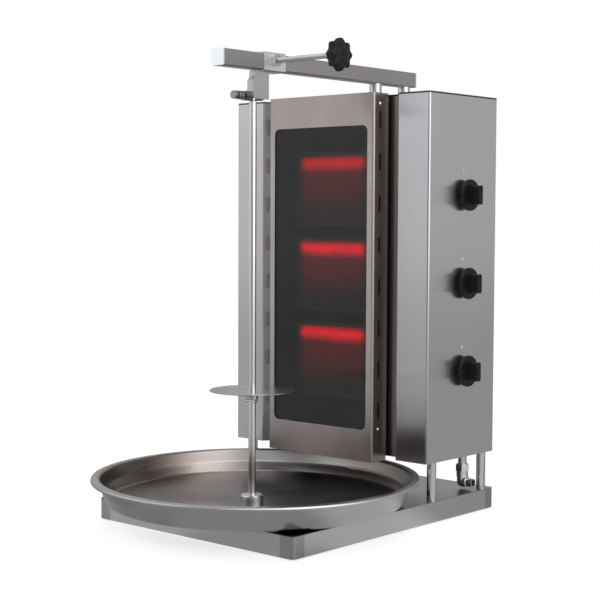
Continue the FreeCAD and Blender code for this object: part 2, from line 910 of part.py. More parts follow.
def mast_clamps():
    clamps = []
    for index, height in enumerate(("clamp_low", "clamp_high")):
        low = f"{floor_top} + {height}"
        front = f"{cabinet_back} + sheet_wall"
        solid = block(f"clamp_block_{index}", ("-clamp_width / 2", front, low),
                      ("clamp_width / 2", f"{mast_y} + strut_radius + clamp_rim", f"{low} + clamp_height"))
        bore = rod(f"clamp_bore_{index}", ("0", mast_y, low), "strut_radius + clamp_clearance",
                   "clamp_height")
        clamps.append(cut(f"clamp_{index}", solid, [bore]))
    seat(group("mast_clamps", clamps), "mast_clamps")


def beam_tube():
    body = new_body("beam_tube")
    section = draw(body, "front", "section", f"{beam_back} - cap_thickness")
    rectangle(section, "0", beam_middle, "beam_size", "beam_size", "beam_corner")
    inside = "beam_size - 2 * tube_wall"
    rectangle(section, "0", beam_middle, inside, inside)
    pad(body, section, "beam_length - 2 * cap_thickness", ahead=False)
    seat(body, "beam_tube")


def beam_caps():
    caps = []
    plug = "beam_size / 2 - tube_wall - cap_clearance"
    front = f"{beam_back} - beam_length"
    for index, (face, step) in enumerate(((front, 1), (beam_back, -1))):
        body = new_body(f"beam_cap_{index}")
        plate = draw(body, "front", "plate", face)
        rectangle(plate, "0", beam_middle, "beam_size", "beam_size", "beam_corner")
        pad(body, plate, "cap_thickness", ahead=step > 0)
        shank = draw(body, "front", "plug", face)
        rectangle(shank, "0", beam_middle, f"2 * ({plug})", f"2 * ({plug})")
        pad(body, shank, "cap_thickness + cap_plug", ahead=step > 0)
        caps.append(body)
    seat(group("beam_caps", caps), "beam_caps")


# Radiant frame: a pressed box with the window in front and a row of cooling slots down each side

def radiant_frame():
    body = new_body("radiant_frame")
    shell = draw(body, "top", "outline", frame_bottom)
    half, back = "frame_width / 2", frame_back
    outline(shell, [(f"-{half}", back), (f"-{half}", frame_front, "frame_corner"),
                    (half, frame_front, "frame_corner"), (half, back)])
    pad(body, shell, "frame_height")
    hollow = draw(body, "top", "hollow", f"{frame_bottom} + sheet_wall")
    inner = "frame_width / 2 - sheet_wall"
    bend = "frame_corner - sheet_wall"
    outline(hollow, [(f"-({inner})", f"{back} + sheet_wall"), (f"-({inner})", glass_front, bend),
                     (inner, glass_front, bend), (inner, f"{back} + sheet_wall")])
    pocket(body, hollow, "frame_height - 2 * sheet_wall")
    window = draw(body, "front", "window", frame_front)
    rectangle(window, "0", window_middle, window_width, "window_height", "window_corner")
    pocket(body, window, "2 * sheet_wall")
    holes = draw(body, "side", "screw_holes")
    for z in frame_screw_heights():
        circle(holes, f"{frame_front} + frame_screw_setback", z, "screw_radius + screw_clearance")
    pocket_both_ways(body, holes, "frame_width + 2 * sheet_wall")
    first = draw(body, "side", "slot")
    middle = f"({window_middle} + slot_lift - slot_pitch * (slot_count - 1) / 2)"
    reach = "(slot_length - slot_width) / 2"
    slot(first, f"{frame_front} + slot_setback", f"{middle} - {reach}", f"{middle} + {reach}",
         "slot_width / 2")
    cooling = pocket_both_ways(body, first, "frame_width + 2 * sheet_wall")
    repeat(body, cooling, first, "V_Axis", "slot_pitch", "slot_count")
    seat(body, "radiant_frame")


def glass_pane():
    body = new_body("glass_pane")
    shape = draw(body, "front", "outline", glass_front)
    rectangle(shape, "0", window_middle, f"{window_width} + 2 * glass_lap", "window_height + 2 * glass_lap")
    pad(body, shape, "glass_thickness")
    seat(body, "glass_pane")


def glass_clips():
    edge = "(window_height / 2 + glass_lap)"
    step = "(clip_clearance + clip_thickness)"
    clips = []
    for index, (side, end) in enumerate(((-1, -1), (1, -1), (-1, 1), (1, 1))):
        body = new_body(f"glass_clip_{index}")
        shape = draw(body, "side", "bend", f"{side} * {clip_x} - clip_width / 2")
        tip, base = f"{edge} - clip_reach", f"{edge} + {step}"
        foot, over = f"{edge} + {step} + clip_foot", f"{glass_back} + clip_clearance"
        bends = [(glass_front, foot), (f"{glass_front} + clip_thickness", foot),
                 (f"{glass_front} + clip_thickness", base), (f"{over} + clip_thickness", base),
                 (f"{over} + clip_thickness", tip), (over, tip), (over, f"{edge} + clip_clearance"),
                 (glass_front, f"{edge} + clip_clearance")]
        outline(shape, [(y, f"{window_middle} + {end} * ({rise})") for y, rise in bends])
        pad(body, shape, "clip_width")
        stem = draw(body, "front", "hole", glass_front)
        circle(stem, f"{side} * {clip_x}", stud_height(end), "stud_radius + screw_clearance")
        pocket(body, stem, "clip_thickness")
        clips.append(body)
    seat(group("glass_clips", clips), "glass_clips")


def stud_height(end):
    return f"{window_middle} + {end} * (window_height / 2 + glass_lap + clip_clearance + clip_foot / 2)"


def clip_studs():
    studs = []
    for index, (side, end) in enumerate(((-1, -1), (1, -1), (-1, 1), (1, 1))):
        x, z = f"{side} * {clip_x}", stud_height(end)
        stem = rod(f"stud_stem_{index}", (x, glass_front, z), "stud_radius", "stud_length", "back")
        nut = hexagon(f"stud_nut_{index}", (x, f"{glass_front} + clip_thickness", z),
                      "stud_nut_across", "stud_nut_height", "back")
        studs.append(join(f"stud_{index}", [stem, nut]))
    seat(group("clip_studs", studs), "clip_studs")


# Burner box, burners and what feeds them

def burner_height(index):
    return f"({knob_height(index)} + burner_rise)"


def burner_box():
    body = new_body("burner_box")
    shape = draw(body, "front", "outline", box_front)
    middle = f"({floor_top} + {box_top}) / 2"
    tall = f"({box_top} - {floor_top})"
    rectangle(shape, "0", middle, box_width, tall)
    pad(body, shape, "box_depth")
    hollow = draw(body, "front", "hollow", box_front)
    rectangle(hollow, "0", middle, f"{box_width} - 2 * sheet_wall", f"{tall} - 2 * sheet_wall")
    pocket(body, hollow, "box_depth - sheet_wall")
    for name, height in (("air_slots", floor_top), ("flue_slots", f"{box_top} - sheet_wall")):
        vent_row(body, name, height, f"{box_front} + box_depth / 2", "sheet_wall")
    ports = draw(body, "side", "ports", f"{box_width} / 2 - 2 * sheet_wall")
    for index in range(3):
        circle(ports, mixer_y, knob_height(index), "mixer_radius + mixer_clearance")
        circle(ports, f"{box_front} + probe_setback", f"{burner_height(index)} + probe_rise",
               "probe_radius + probe_clearance")
    pocket(body, ports, "3 * sheet_wall")
    holes = draw(body, "side", "screw_holes")
    for z in frame_screw_heights():
        circle(holes, f"{frame_front} + frame_screw_setback", z, "screw_radius + screw_clearance")
    pocket_both_ways(body, holes, f"{box_width} + 2 * sheet_wall")
    seat(body, "burner_box")


def burner_housing(index):
    body = new_body(f"burner_housing_{index + 1}")
    shape = draw(body, "front", "outline", housing_front)
    rectangle(shape, "0", "0", housing_width, "housing_height", "housing_wall")
    pad(body, shape, "housing_depth")
    strap = draw(body, "front", "strap", housing_back)
    rectangle(strap, "0", "0", f"{box_width} - 2 * sheet_wall - 2 * strap_clearance", "strap_height")
    pad(body, strap, "strap_thickness")
    mixer = draw(body, "side", "mixer", f"{housing_width} / 2 - housing_wall")
    circle(mixer, mixer_y, "-burner_rise", "mixer_radius")
    pad(body, mixer, "mixer_reach + housing_wall")
    recess = draw(body, "front", "recess", housing_front)
    rectangle(recess, "0", "0", f"{plaque_width} + 2 * plaque_clearance",
              "plaque_height + 2 * plaque_clearance")
    pocket(body, recess, "plaque_thickness")
    chamber = draw(body, "front", "chamber", housing_front)
    rectangle(chamber, "0", "0", f"{plaque_width} - 2 * plaque_ledge", "plaque_height - 2 * plaque_ledge")
    pocket(body, chamber, "housing_depth - housing_wall")
    bore = draw(body, "side", "bore", f"{plaque_width} / 2 - 2 * plaque_ledge")
    circle(bore, mixer_y, "-burner_rise", "mixer_radius - mixer_wall")
    pocket(body, bore, housing_width)
    seat(body, f"burner_housing_{index + 1}", ("0", "0", burner_height(index)))


def ceramic_plaques():
    plaques = []
    for index in range(3):
        low = (f"-{plaque_width} / 2", housing_front, f"{burner_height(index)} - plaque_height / 2")
        high = (f"{plaque_width} / 2", f"{housing_front} + plaque_thickness",
                f"{burner_height(index)} + plaque_height / 2")
        plaques.append(block(f"plaque_{index}", low, high))
    seat(group("ceramic_plaques", plaques), "ceramic_plaques")


def injectors():
    jets = []
    start = f"{injector_back} - injector_length"
    for index in range(3):
        spot = (start, mixer_y, knob_height(index))
        shoulder = (f"{start} + injector_length / 2", mixer_y, knob_height(index))
        nut = hexagon(f"jet_nut_{index}", shoulder, "injector_across", "injector_length / 2", "right")
        nose = rod(f"jet_nose_{index}", spot, "injector_across / 3", "injector_length", "right")
        bore = rod(f"jet_bore_{index}", spot, "injector_bore", "injector_length", "right")
        jets.append(cut(f"jet_{index}", join(f"jet_body_{index}", [nut, nose]), [bore]))
    seat(group("injectors", jets), "injectors")


def gas_tubes():
    run = f"{outlet_x} - {injector_back}"
    climb = f"{knob_y} - outlet_reach - {mixer_y}"
    tubes = []
    for index in range(3):
        tube = bent_tube(f"gas_tube_{index}", [("0", "0"), (run, "0", "tube_bend"), (run, climb)],
                         "tube_radius", "tube_bore")
        tubes.append(place_at(tube, (injector_back, mixer_y, knob_height(index))))
    seat(group("gas_tubes", tubes), "gas_tubes")


def thermocouples():
    probes = []
    inward = "-(probe_inside + probe_outside)"
    for index in range(3):
        run = [("0", "0"), (inward, "0", "probe_bend"), (inward, "-probe_reach")]
        probe = bent_tube(f"probe_{index}", run, "probe_radius")
        spot = (f"{box_width} / 2 + probe_outside", f"{box_front} + probe_setback",
                f"{burner_height(index)} + probe_rise")
        probes.append(place_at(probe, spot))
    seat(group("thermocouples", probes), "thermocouples")


# The supply pipe comes down behind the valves, steps back and leaves through the floor
def manifold_pipe():
    top = f"({knob_height(2)} + pipe_above)"
    first = f"({top} - ({knob_height(0)} - pipe_straight))"
    second = f"({first} + pipe_shift)"
    run = [("0", "0"), (first, "0", "pipe_bend"), (second, "pipe_shift", "pipe_bend"),
           (f"{top} - {floor_under} + pipe_drop", "pipe_shift")]
    body = bent_tube("manifold_pipe", run, "pipe_radius", "pipe_bore")
    seat(body, "manifold_pipe", (pipe_x, knob_y, top), "right")


def gas_valve(index):
    body = turned(f"gas_valve_{index + 1}", [
        ("stem_radius + plug_end_clearance", "0"), ("valve_neck_radius", "0"),
        ("valve_neck_radius", "-valve_neck_length"), ("valve_radius", "-valve_neck_length"),
        ("valve_radius", "-valve_neck_length - valve_length"), ("0", "-valve_neck_length - valve_length"),
        ("0", "-plug_depth - plug_length - plug_end_clearance"),
        ("plug_radius + plug_clearance", "-plug_depth - plug_length - plug_end_clearance"),
        ("plug_radius + plug_clearance", "plug_end_clearance - plug_depth"),
        ("stem_radius + plug_end_clearance", "plug_end_clearance - plug_depth"),
    ])
    rear = "-valve_neck_length - valve_length"
    saddle = draw(body, "top", "saddle", rear)
    circle(saddle, "0", "0", "valve_saddle_radius")
    pad(body, saddle, "valve_saddle_length", ahead=False)
    seat_cut = draw(body, "side", "pipe_seat")
    circle(seat_cut, "0", f"{pipe_x} - {panel_inner}", "pipe_radius + clamp_clearance")
    pocket_both_ways(body, seat_cut, "4 * valve_radius")
    outlet = draw(body, "front", "outlet", "-outlet_reach")
    circle(outlet, "0", "-outlet_depth", "outlet_radius")
    pad(body, outlet, "outlet_reach - plug_radius - 2 * sheet_wall")
    port = draw(body, "front", "port", "-outlet_reach")
    circle(port, "0", "-outlet_depth", "tube_bore")
    pocket(body, port, "outlet_reach - plug_radius / 2")
    seat(body, f"gas_valve_{index + 1}", (panel_inner, knob_y, knob_height(index)), "right")


def inlet_union():
    hex_bottom = f"{union_top} - union_hex_height"
    spot = (pipe_x, inlet_y)
    nut = hexagon("union_hex", (*spot, hex_bottom), "union_across", "union_hex_height")
    lower = rod("union_lower", (*spot, union_bottom), "union_body_radius", "union_body_height")
    socket = rod("union_socket", (*spot, f"{union_top} - union_depth"), "pipe_radius + clamp_clearance",
                 "union_depth")
    bore = rod("union_bore", (*spot, union_bottom), "pipe_bore", "union_body_height")
    seat(cut("inlet_union", join("union_solid", [nut, lower]), [socket, bore]), "inlet_union")


def inlet_elbow():
    upright = rod("elbow_upright", (pipe_x, inlet_y, inlet_z), "elbow_radius", "elbow_radius")
    corner = document.addObject("Part::Sphere", "elbow_corner")
    bind(corner, "Radius", "elbow_radius")
    place_at(corner, (pipe_x, inlet_y, inlet_z))
    centre = (pipe_x, inlet_y, inlet_z)
    level = rod("elbow_level", centre, "elbow_radius", "inlet_reach - inlet_thread_length", "right")
    thread = rod("elbow_thread", centre, "inlet_radius", "inlet_reach", "right")
    down = rod("elbow_bore_down", centre, "pipe_bore", "elbow_radius")
    across = rod("elbow_bore_across", centre, "pipe_bore", "inlet_reach", "right")
    turn = document.addObject("Part::Sphere", "elbow_bore_corner")
    bind(turn, "Radius", "pipe_bore")
    place_at(turn, centre)
    solid = join("elbow_solid", [upright, corner, level, thread])
    seat(cut("inlet_elbow", solid, [join("elbow_bore", [down, across, turn])]), "inlet_elbow")


# Valve plugs, stems and control knobs. Their own axis points out of the panel.

def valve_plug(index):
    end = "-plug_depth - plug_length"
    bore = "stem_radius + stem_clearance"
    depth = "-plug_depth - stem_inside - knob_travel - plug_end_clearance"
    body = turned(f"valve_plug_{index + 1}", [
        (bore, "-plug_depth"), ("plug_radius", "-plug_depth"), ("plug_radius", end), ("0", end),
        ("0", depth), (bore, depth),
    ])
    seat(body, f"valve_plug_{index + 1}", (panel_inner, knob_y, knob_height(index)), "right")


def valve_stem(index):
    body = pin(f"valve_stem_{index + 1}", "stem_radius", "-plug_depth - stem_inside",
               "sheet_wall + knob_gap + stem_in_knob")
    seat(body, f"valve_stem_{index + 1}", (panel_inner, knob_y, knob_height(index)), "right")


def knob(index):
    face = "(knob_gap + knob_skirt)"
    inside = "knob_radius - knob_skirt_wall"
    body = turned(f"knob_{index + 1}", [
        ("0", "knob_gap"), ("knob_hub_radius", "knob_gap"), ("knob_hub_radius", f"{face} - knob_skirt_wall"),
        (inside, f"{face} - knob_skirt_wall"), (inside, "knob_gap"), ("knob_radius", "knob_gap"),
        ("knob_radius", face, "knob_skirt_edge"), ("0", face),
    ])
    grip = draw(body, "top", "grip", face)
    rectangle(grip, "0", "0", "grip_length", "grip_width", "grip_corner")
    pad(body, grip, "grip_height")
    socket = draw(body, "top", "socket", "knob_gap")
    circle(socket, "0", "0", "stem_radius + knob_press")
    pocket(body, socket, "stem_in_knob + knob_press")
    dimple = draw(body, "top", "dimple", face)
    circle(dimple, "-dimple_along", "-dimple_across", "dimple_radius")
    pocket(body, dimple, "dimple_depth", ahead=False)
    marker = draw(body, "top", "marker", f"{face} + grip_height - marker_depth")
    rectangle(marker, "marker_length / 2 - grip_length / 2", "0", "marker_length", "marker_width")
    pocket(body, marker, "marker_depth")
    seat(body, f"knob_{index + 1}", (cabinet_side, knob_y, knob_height(index)), "right")


# Spit, stop pin, meat disc and the bearing at the foot

def spit():
    journal = "spit_top - journal_length"
    body = turned("spit", [
        ("0", "0"), ("tip_radius", "0"), ("spit_radius", "tip_length"), ("spit_radius", journal),
        ("journal_radius", f"{journal} + spit_radius - journal_radius"), ("journal_radius", "spit_top - 1"),
        ("journal_radius - 1", "spit_top"), ("0", "spit_top"),
    ])
    hole = draw(body, "side", "pin_hole")
    circle(hole, "0", "stop_pin_height", "stop_pin_radius + stop_pin_clearance")
    pocket_both_ways(body, hole, "4 * spit_radius")
    seat(body, "spit", ("0", spit_y, spit_foot))


def stop_pin():
    spot = ("-stop_pin_length / 2", spit_y, f"{spit_foot} + stop_pin_height")
    pin_rod = rod("pin_rod", spot, "stop_pin_radius", "stop_pin_length", "right")
    seat(group("stop_pin", [pin_rod]), "stop_pin")


def spit_disc():
    bore = "spit_radius + disc_clearance"
    top = "disc_boss_height + disc_thickness"
    body = turned("spit_disc", [
        (bore, "0"), ("disc_boss_radius", "0"), ("disc_boss_radius", "disc_boss_height"),
        ("disc_radius - disc_edge", "disc_boss_height"), ("disc_radius", "disc_boss_height + disc_edge"),
        ("disc_radius", f"{top} - disc_edge"), ("disc_radius - disc_edge", top), (bore, top),
    ])
    seat(body, "spit_disc", ("0", spit_y, f"{spit_foot} + stop_pin_height + stop_pin_radius"))


# The hub stands on the pan's floor; its stud reaches through the pan and the tray's slot
def spit_hub():
    slope = "(spit_radius - tip_radius) / tip_length"
    foot = f"{spit_foot} - {pan_floor} - hub_clearance"
    shoulder = "-pan_wall - slide_gap - base_wall - slide_gap"
    body = turned("spit_hub", [
        ("0", foot), ("tip_radius + hub_clearance", foot),
        (f"tip_radius + hub_clearance + (hub_height - ({foot})) * {slope}", "hub_height"),
        ("hub_radius - hub_chamfer", "hub_height"), ("hub_radius", "hub_height - hub_chamfer"),
        ("hub_radius", "0"), ("stud_guide_radius", "0"), ("stud_guide_radius", shoulder),
        ("stud_thread_radius", shoulder), ("stud_thread_radius", f"{shoulder} - 2 * guide_thickness"),
        ("0", f"{shoulder} - 2 * guide_thickness"),
    ])
    seat(body, "spit_hub", ("0", spit_y, pan_floor))


def guide_plate():
    body = new_body("guide_plate")
    shape = draw(body, "top", "outline", "base_height - base_wall - slide_gap")
    rectangle(shape, "0", spit_y, "guide_width", "guide_length", "base_corner")
    circle(shape, "0", spit_y, "stud_thread_radius + press_gap")
    pad(body, shape, "guide_thickness", ahead=False)
    seat(body, "guide_plate")


# Drip pan: one sheet drawn along its underside, from the middle to the turned-down rim
def drip_pan():
    path = document.addObject("Sketcher::SketchObject", "pan_path")
    rim_radius = "pan_radius - pan_wall"
    gutter_outer = "pan_radius - pan_gutter_inset + pan_gutter_width"
    wall_top = "pan_radius - pan_flange"
    under = "pan_height - pan_wall"
    outline(path, [
        ("0", "0"), ("pan_floor_radius", "0", "2 * pan_floor_radius"),
        ("pan_radius - pan_ridge_inset", "pan_ridge_height", "2 * pan_wall"),
        ("pan_radius - pan_gutter_inset", "pan_gutter_height", "3 * pan_wall"),
        (gutter_outer, "pan_gutter_height", "6 * pan_wall"),
        ("pan_radius - pan_waist_inset", "pan_waist_height", "20 * pan_wall"),
        (wall_top, under, "2 * pan_wall"), (rim_radius, under, "pan_lip_bend"),
        (rim_radius, f"{under} - pan_lip"),
    ], closed=False)
    path.Placement = Placement(Vector(), Rotation(Vector(1, 0, 0), 90))
    band = document.addObject("Part::Offset2D", "pan_band")
    band.Source = path
    band.Mode = "Skin"
    band.Join = "Intersection"
    band.Fill = True
    bind(band, "Value", "pan_wall")
    bowl = document.addObject("Part::Revolution", "pan_bowl")
    bowl.Source = band
    bowl.Axis = Vector(0, 0, 1)
    bowl.Angle = 360
    bowl.Solid = True
    hole = rod("pan_hole", ("0", "-pan_offset", "-pan_wall"), "stud_guide_radius + stud_guide_clearance",
               "4 * pan_wall")
    seat(cut("drip_pan", bowl, [hole]), "drip_pan", ("0", pan_y, "base_height + slide_gap"))


# Sleeve on the beam and its clamping screw

def clamp_sleeve():
    body = new_body("clamp_sleeve")
    section = draw(body, "front", "section", f"{sleeve_y} - sleeve_length / 2")
    rectangle(section, "0", beam_middle, sleeve_outer, sleeve_outer, "sleeve_corner")
    rectangle(section, "0", beam_middle, sleeve_inner, sleeve_inner)
    pad(body, section, "sleeve_length")
    hole = draw(body, "side", "screw_hole", f"{sleeve_inner} / 2")
    circle(hole, sleeve_y, clamp_z, "spindle_radius + thread_clearance")
    pocket(body, hole, "sleeve_wall")
    seat(body, "clamp_sleeve")


def clamp_nut():
    spot = (f"{sleeve_outer} / 2", sleeve_y, clamp_z)
    nut = hexagon("clamp_nut_hex", spot, "clamp_nut_across", "clamp_nut_length", "right")
    bore = rod("clamp_nut_bore", spot, "spindle_radius + thread_clearance", "clamp_nut_length", "right")
    seat(cut("clamp_nut", nut, [bore]), "clamp_nut")


def clamp_tip():
    body = pin("clamp_tip", "clamp_tip_radius", "0", "clamp_tip_length")
    seat(body, "clamp_tip", (tip_x, sleeve_y, clamp_z), "right")


def clamp_spindle():
    body = pin("clamp_spindle", "spindle_radius", "clamp_tip_length", "clamp_tip_length + spindle_length")
    seat(body, "clamp_spindle", (tip_x, sleeve_y, clamp_z), "right")


def star_knob():
    body = turned("star_knob", [
        ("0", "0"), ("star_boss_radius", "0"), ("star_boss_radius", "star_boss_length"),
        ("star_radius", "star_boss_length", "star_edge"),
        ("star_radius", "star_boss_length + star_thickness", "star_edge"),
        ("0", "star_boss_length + star_thickness"),
    ])
    scallop = draw(body, "top", "scallop", "star_boss_length")
    circle(scallop, "star_radius + star_scallop_radius - star_scallop_depth", "0", "star_scallop_radius")
    repeat_round(body, pocket(body, scallop, "star_thickness"), scallop, "star_lobes")
    socket = draw(body, "top", "socket")
    circle(socket, "0", "0", "spindle_radius + press_gap")
    bore = pocket(body, socket, f"{tip_x} + clamp_tip_length + spindle_length - star_start + press_gap")
    body.Tip = bore
    seat(body, "star_knob", ("star_start", sleeve_y, clamp_z), "right")


# Holder for the spit's top: a channel open to the back, below the sleeve

def spit_holder():
    body = new_body("spit_holder")
    section = draw(body, "top", "section", holder_bottom)
    back = f"{spit_y} - {holder_outer} + holder_length"
    front = f"{spit_y} - {holder_outer}"
    web = f"{spit_y} - {holder_inner}"
    outline(section, [(f"-{holder_outer}", front), (holder_outer, front), (holder_outer, back),
                      (holder_inner, back), (holder_inner, web), (f"-{holder_inner}", web),
                      (f"-{holder_inner}", back), (f"-{holder_outer}", back)])
    pad(body, section, "holder_height")
    head = draw(body, "top", "head", f"{sleeve_under} - 2 * holder_neck_height")
    outline(head, [(f"-{holder_outer}", front), (holder_outer, front), (holder_outer, back),
                   (f"-{holder_outer}", back)])
    pad(body, head, "2 * holder_neck_height")
    neck = draw(body, "side", "neck")
    outline(neck, [(front, f"{sleeve_under} - 2 * holder_neck_height"),
                   (f"{front} + holder_neck_depth", f"{sleeve_under} - holder_neck_height"),
                   (f"{front} + holder_neck_depth", f"{sleeve_under} + sheet_wall"),
                   (front, f"{sleeve_under} + sheet_wall")])
    pocket_both_ways(body, neck, f"4 * {holder_outer}")
    hole = draw(body, "front", "screw_hole", front)
    circle(hole, "0", lock_z, "lock_radius + thread_clearance")
    pocket(body, hole, "holder_wall")
    seat(body, "spit_holder")


def bearing_block():
    low = f"{holder_bottom} - block_drop"
    solid = block("bearing_solid", (f"-{holder_inner}", f"{spit_y} + block_start", low),
                  (holder_inner, f"{spit_y} + block_start + block_length", f"{low} + block_height"))
    groove = rod("bearing_groove", ("0", spit_y, low), "journal_radius + block_clearance", "block_height")
    seat(cut("bearing_block", solid, [groove]), "bearing_block")


def lock_nut():
    spot = ("0", f"{spit_y} - {holder_outer}", lock_z)
    nut = hexagon("lock_nut_hex", spot, "lock_nut_across", "lock_nut_length", "front")
    bore = rod("lock_nut_bore", spot, "lock_radius + thread_clearance", "lock_nut_length", "front")
    seat(cut("lock_nut", nut, [bore]), "lock_nut")


def lock_tip():
    body = pin("lock_tip", "lock_tip_radius", "0", "lock_tip_length")
    seat(body, "lock_tip", ("0", lock_y, lock_z), "front")


def lock_screw():
    start = "lock_tip_length"
    nut_end = f"({holder_outer} + lock_nut_length - journal_radius - lock_tip_gap)"
    collar = f"{nut_end} + lock_collar_gap"
    collar_end = f"{collar} + lock_collar_length"
    head = f"{collar_end} + lock_neck_length"
    tail = f"{head} + lock_head_length"
    body = turned("lock_screw", [
        ("0", start), ("lock_radius", start), ("lock_radius", collar),
        ("lock_collar_radius", collar, "lock_edge"), ("lock_collar_radius", collar_end, "lock_edge"),
        ("lock_radius", collar_end), ("lock_radius", head), ("lock_head_radius", head, "lock_edge"),
        ("lock_head_radius", tail, "lock_edge"), ("0", tail),
    ])
    seat(body, "lock_screw", ("0", lock_y, lock_z), "front")


# Order in which the pieces are made
base_tray()
base_feet()
support_posts()
post_bolts()
cabinet_floor()
side_covers()
top_cover()
back_panel()
cover_screws()
roof_channel()
round_post("front_strut", strut_y, roof_top, beam_under)
round_post("rear_mast", mast_y, f"{beam_under} - mast_length", beam_under)
mast_clamps()
beam_tube()
beam_caps()
radiant_frame()
glass_pane()
glass_clips()
clip_studs()
burner_box()
ceramic_plaques()
injectors()
gas_tubes()
thermocouples()
manifold_pipe()
inlet_union()
inlet_elbow()
for burner in range(3):
    burner_housing(burner)
    gas_valve(burner)
    valve_plug(burner)
    valve_stem(burner)
    knob(burner)
drip_pan()
spit_hub()
guide_plate()
spit()
stop_pin()
spit_disc()
clamp_sleeve()
clamp_nut()
clamp_tip()
clamp_spindle()
star_knob()
spit_holder()
bearing_block()
lock_nut()
lock_tip()
lock_screw()
document.recompute()

failed = [thing.Name for thing in document.Objects if {"Invalid", "Error"} & set(thing.State)]
for node in nodes:
    if node.Shape.isNull() or not node.Shape.isValid() or not node.Shape.Solids:
        failed.append(node.Label)
if failed:
    raise RuntimeError("These objects failed: " + ", ".join(failed))

os.makedirs("parts", exist_ok=True)
for node in nodes:
    node.Shape.exportStep(f"parts/{node.Label}.step")
box = Part.makeCompound([node.Shape for node in nodes]).BoundBox
print(len(nodes), "pieces, from", [round(edge, 2) for edge in (box.XMin, box.YMin, box.ZMin)],
      "to", [round(edge, 2) for edge in (box.XMax, box.YMax, box.ZMax)])
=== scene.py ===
import math
import bpy
import numpy as np
from mathutils import Matrix, Vector


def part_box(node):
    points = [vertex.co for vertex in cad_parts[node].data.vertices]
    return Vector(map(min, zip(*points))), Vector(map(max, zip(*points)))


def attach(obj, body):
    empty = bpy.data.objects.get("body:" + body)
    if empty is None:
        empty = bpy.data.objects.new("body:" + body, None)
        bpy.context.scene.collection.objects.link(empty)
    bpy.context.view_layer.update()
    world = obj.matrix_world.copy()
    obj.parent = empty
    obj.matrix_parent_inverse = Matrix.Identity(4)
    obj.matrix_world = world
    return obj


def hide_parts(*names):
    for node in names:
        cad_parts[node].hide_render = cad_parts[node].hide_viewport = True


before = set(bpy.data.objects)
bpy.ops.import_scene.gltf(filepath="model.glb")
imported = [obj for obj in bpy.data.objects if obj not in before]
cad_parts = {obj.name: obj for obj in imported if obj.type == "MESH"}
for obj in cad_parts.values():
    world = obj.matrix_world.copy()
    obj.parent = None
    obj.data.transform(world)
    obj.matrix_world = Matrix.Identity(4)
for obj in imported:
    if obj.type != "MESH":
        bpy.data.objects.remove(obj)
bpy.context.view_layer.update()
scene = bpy.context.scene
print("frame loaded")


# Materials: shared node groups give grain, clouds and marks, and each look has its own values

def addNode(tree, kind, values=None, **settings):
    node = tree.nodes.new(kind)
    for name, value in settings.items():
        setattr(node, name, value)
    for socket, value in (values or {}).items():
        node.inputs[socket].default_value = value
    return node


def math1(tree, operation, a, b=0.0, clamp=False):
    node = addNode(tree, "ShaderNodeMath", operation=operation, use_clamp=clamp)
    for spot, value in ((0, a), (1, b)):
        if isinstance(value, (int, float)):
            node.inputs[spot].default_value = value
        else:
            tree.links.new(value, node.inputs[spot])
    return node.outputs[0]


def spread(tree, value, low, high, toLow=0.0, toHigh=1.0, smooth=False):
    node = addNode(tree, "ShaderNodeMapRange", {1: low, 2: high, 3: toLow, 4: toHigh})
    node.interpolation_type = "SMOOTHSTEP" if smooth else "LINEAR"
    tree.links.new(value, node.inputs[0])
    return node.outputs[0]


def noise(tree, vector, scale, detail=3.0, roughness=0.5, distortion=0.0):
    node = addNode(tree, "ShaderNodeTexNoise", {"Scale": scale, "Detail": detail,
                                                "Roughness": roughness, "Distortion": distortion})
    tree.links.new(vector, node.inputs["Vector"])
    return node.outputs[0]


def mapped(tree, vector, scale=(1, 1, 1), location=(0, 0, 0)):
    node = addNode(tree, "ShaderNodeMapping", {"Scale": scale, "Location": location})
    tree.links.new(vector, node.inputs["Vector"])
    return node.outputs[0]


def blendColours(tree, share, first, second):
    node = addNode(tree, "ShaderNodeMix", data_type="RGBA")
    for spot, value in ((0, share), (6, first), (7, second)):
        if isinstance(value, tuple):
            node.inputs[spot].default_value = (*value, 1)
        else:
            tree.links.new(value, node.inputs[spot])
    return node.outputs[2]


def splitXYZ(tree, vector):
    node = addNode(tree, "ShaderNodeSeparateXYZ")
    tree.links.new(vector, node.inputs[0])
    return node.outputs[0], node.outputs[1], node.outputs[2]


def product(tree, first, *others):
    for other in others:
        first = math1(tree, "MULTIPLY", first, other)
    return first


def opposite(tree, share):
    return math1(tree, "SUBTRACT", 1.0, share)


def surfaceNormal(tree):
    return addNode(tree, "ShaderNodeNewGeometry").outputs["Normal"]


def dotProduct(tree, vector, other):
    node = addNode(tree, "ShaderNodeVectorMath", operation="DOT_PRODUCT")
    tree.links.new(vector, node.inputs[0])
    if isinstance(other, tuple):
        node.inputs[1].default_value = other
    else:
        tree.links.new(other, node.inputs[1])
    return node.outputs["Value"]


def newGroup(name, inputs, outputs):
    tree = bpy.data.node_groups.new(name, "ShaderNodeTree")
    for label, kind in inputs:
        tree.interface.new_socket(label, in_out="INPUT", socket_type=kind)
    for label, kind in outputs:
        tree.interface.new_socket(label, in_out="OUTPUT", socket_type=kind)
    return tree, tree.nodes.new("NodeGroupInput"), tree.nodes.new("NodeGroupOutput")


def useGroup(tree, group, links):
    node = addNode(tree, "ShaderNodeGroup", node_tree=group)
    for name, socket in links.items():
        tree.links.new(socket, node.inputs[name])
    return node


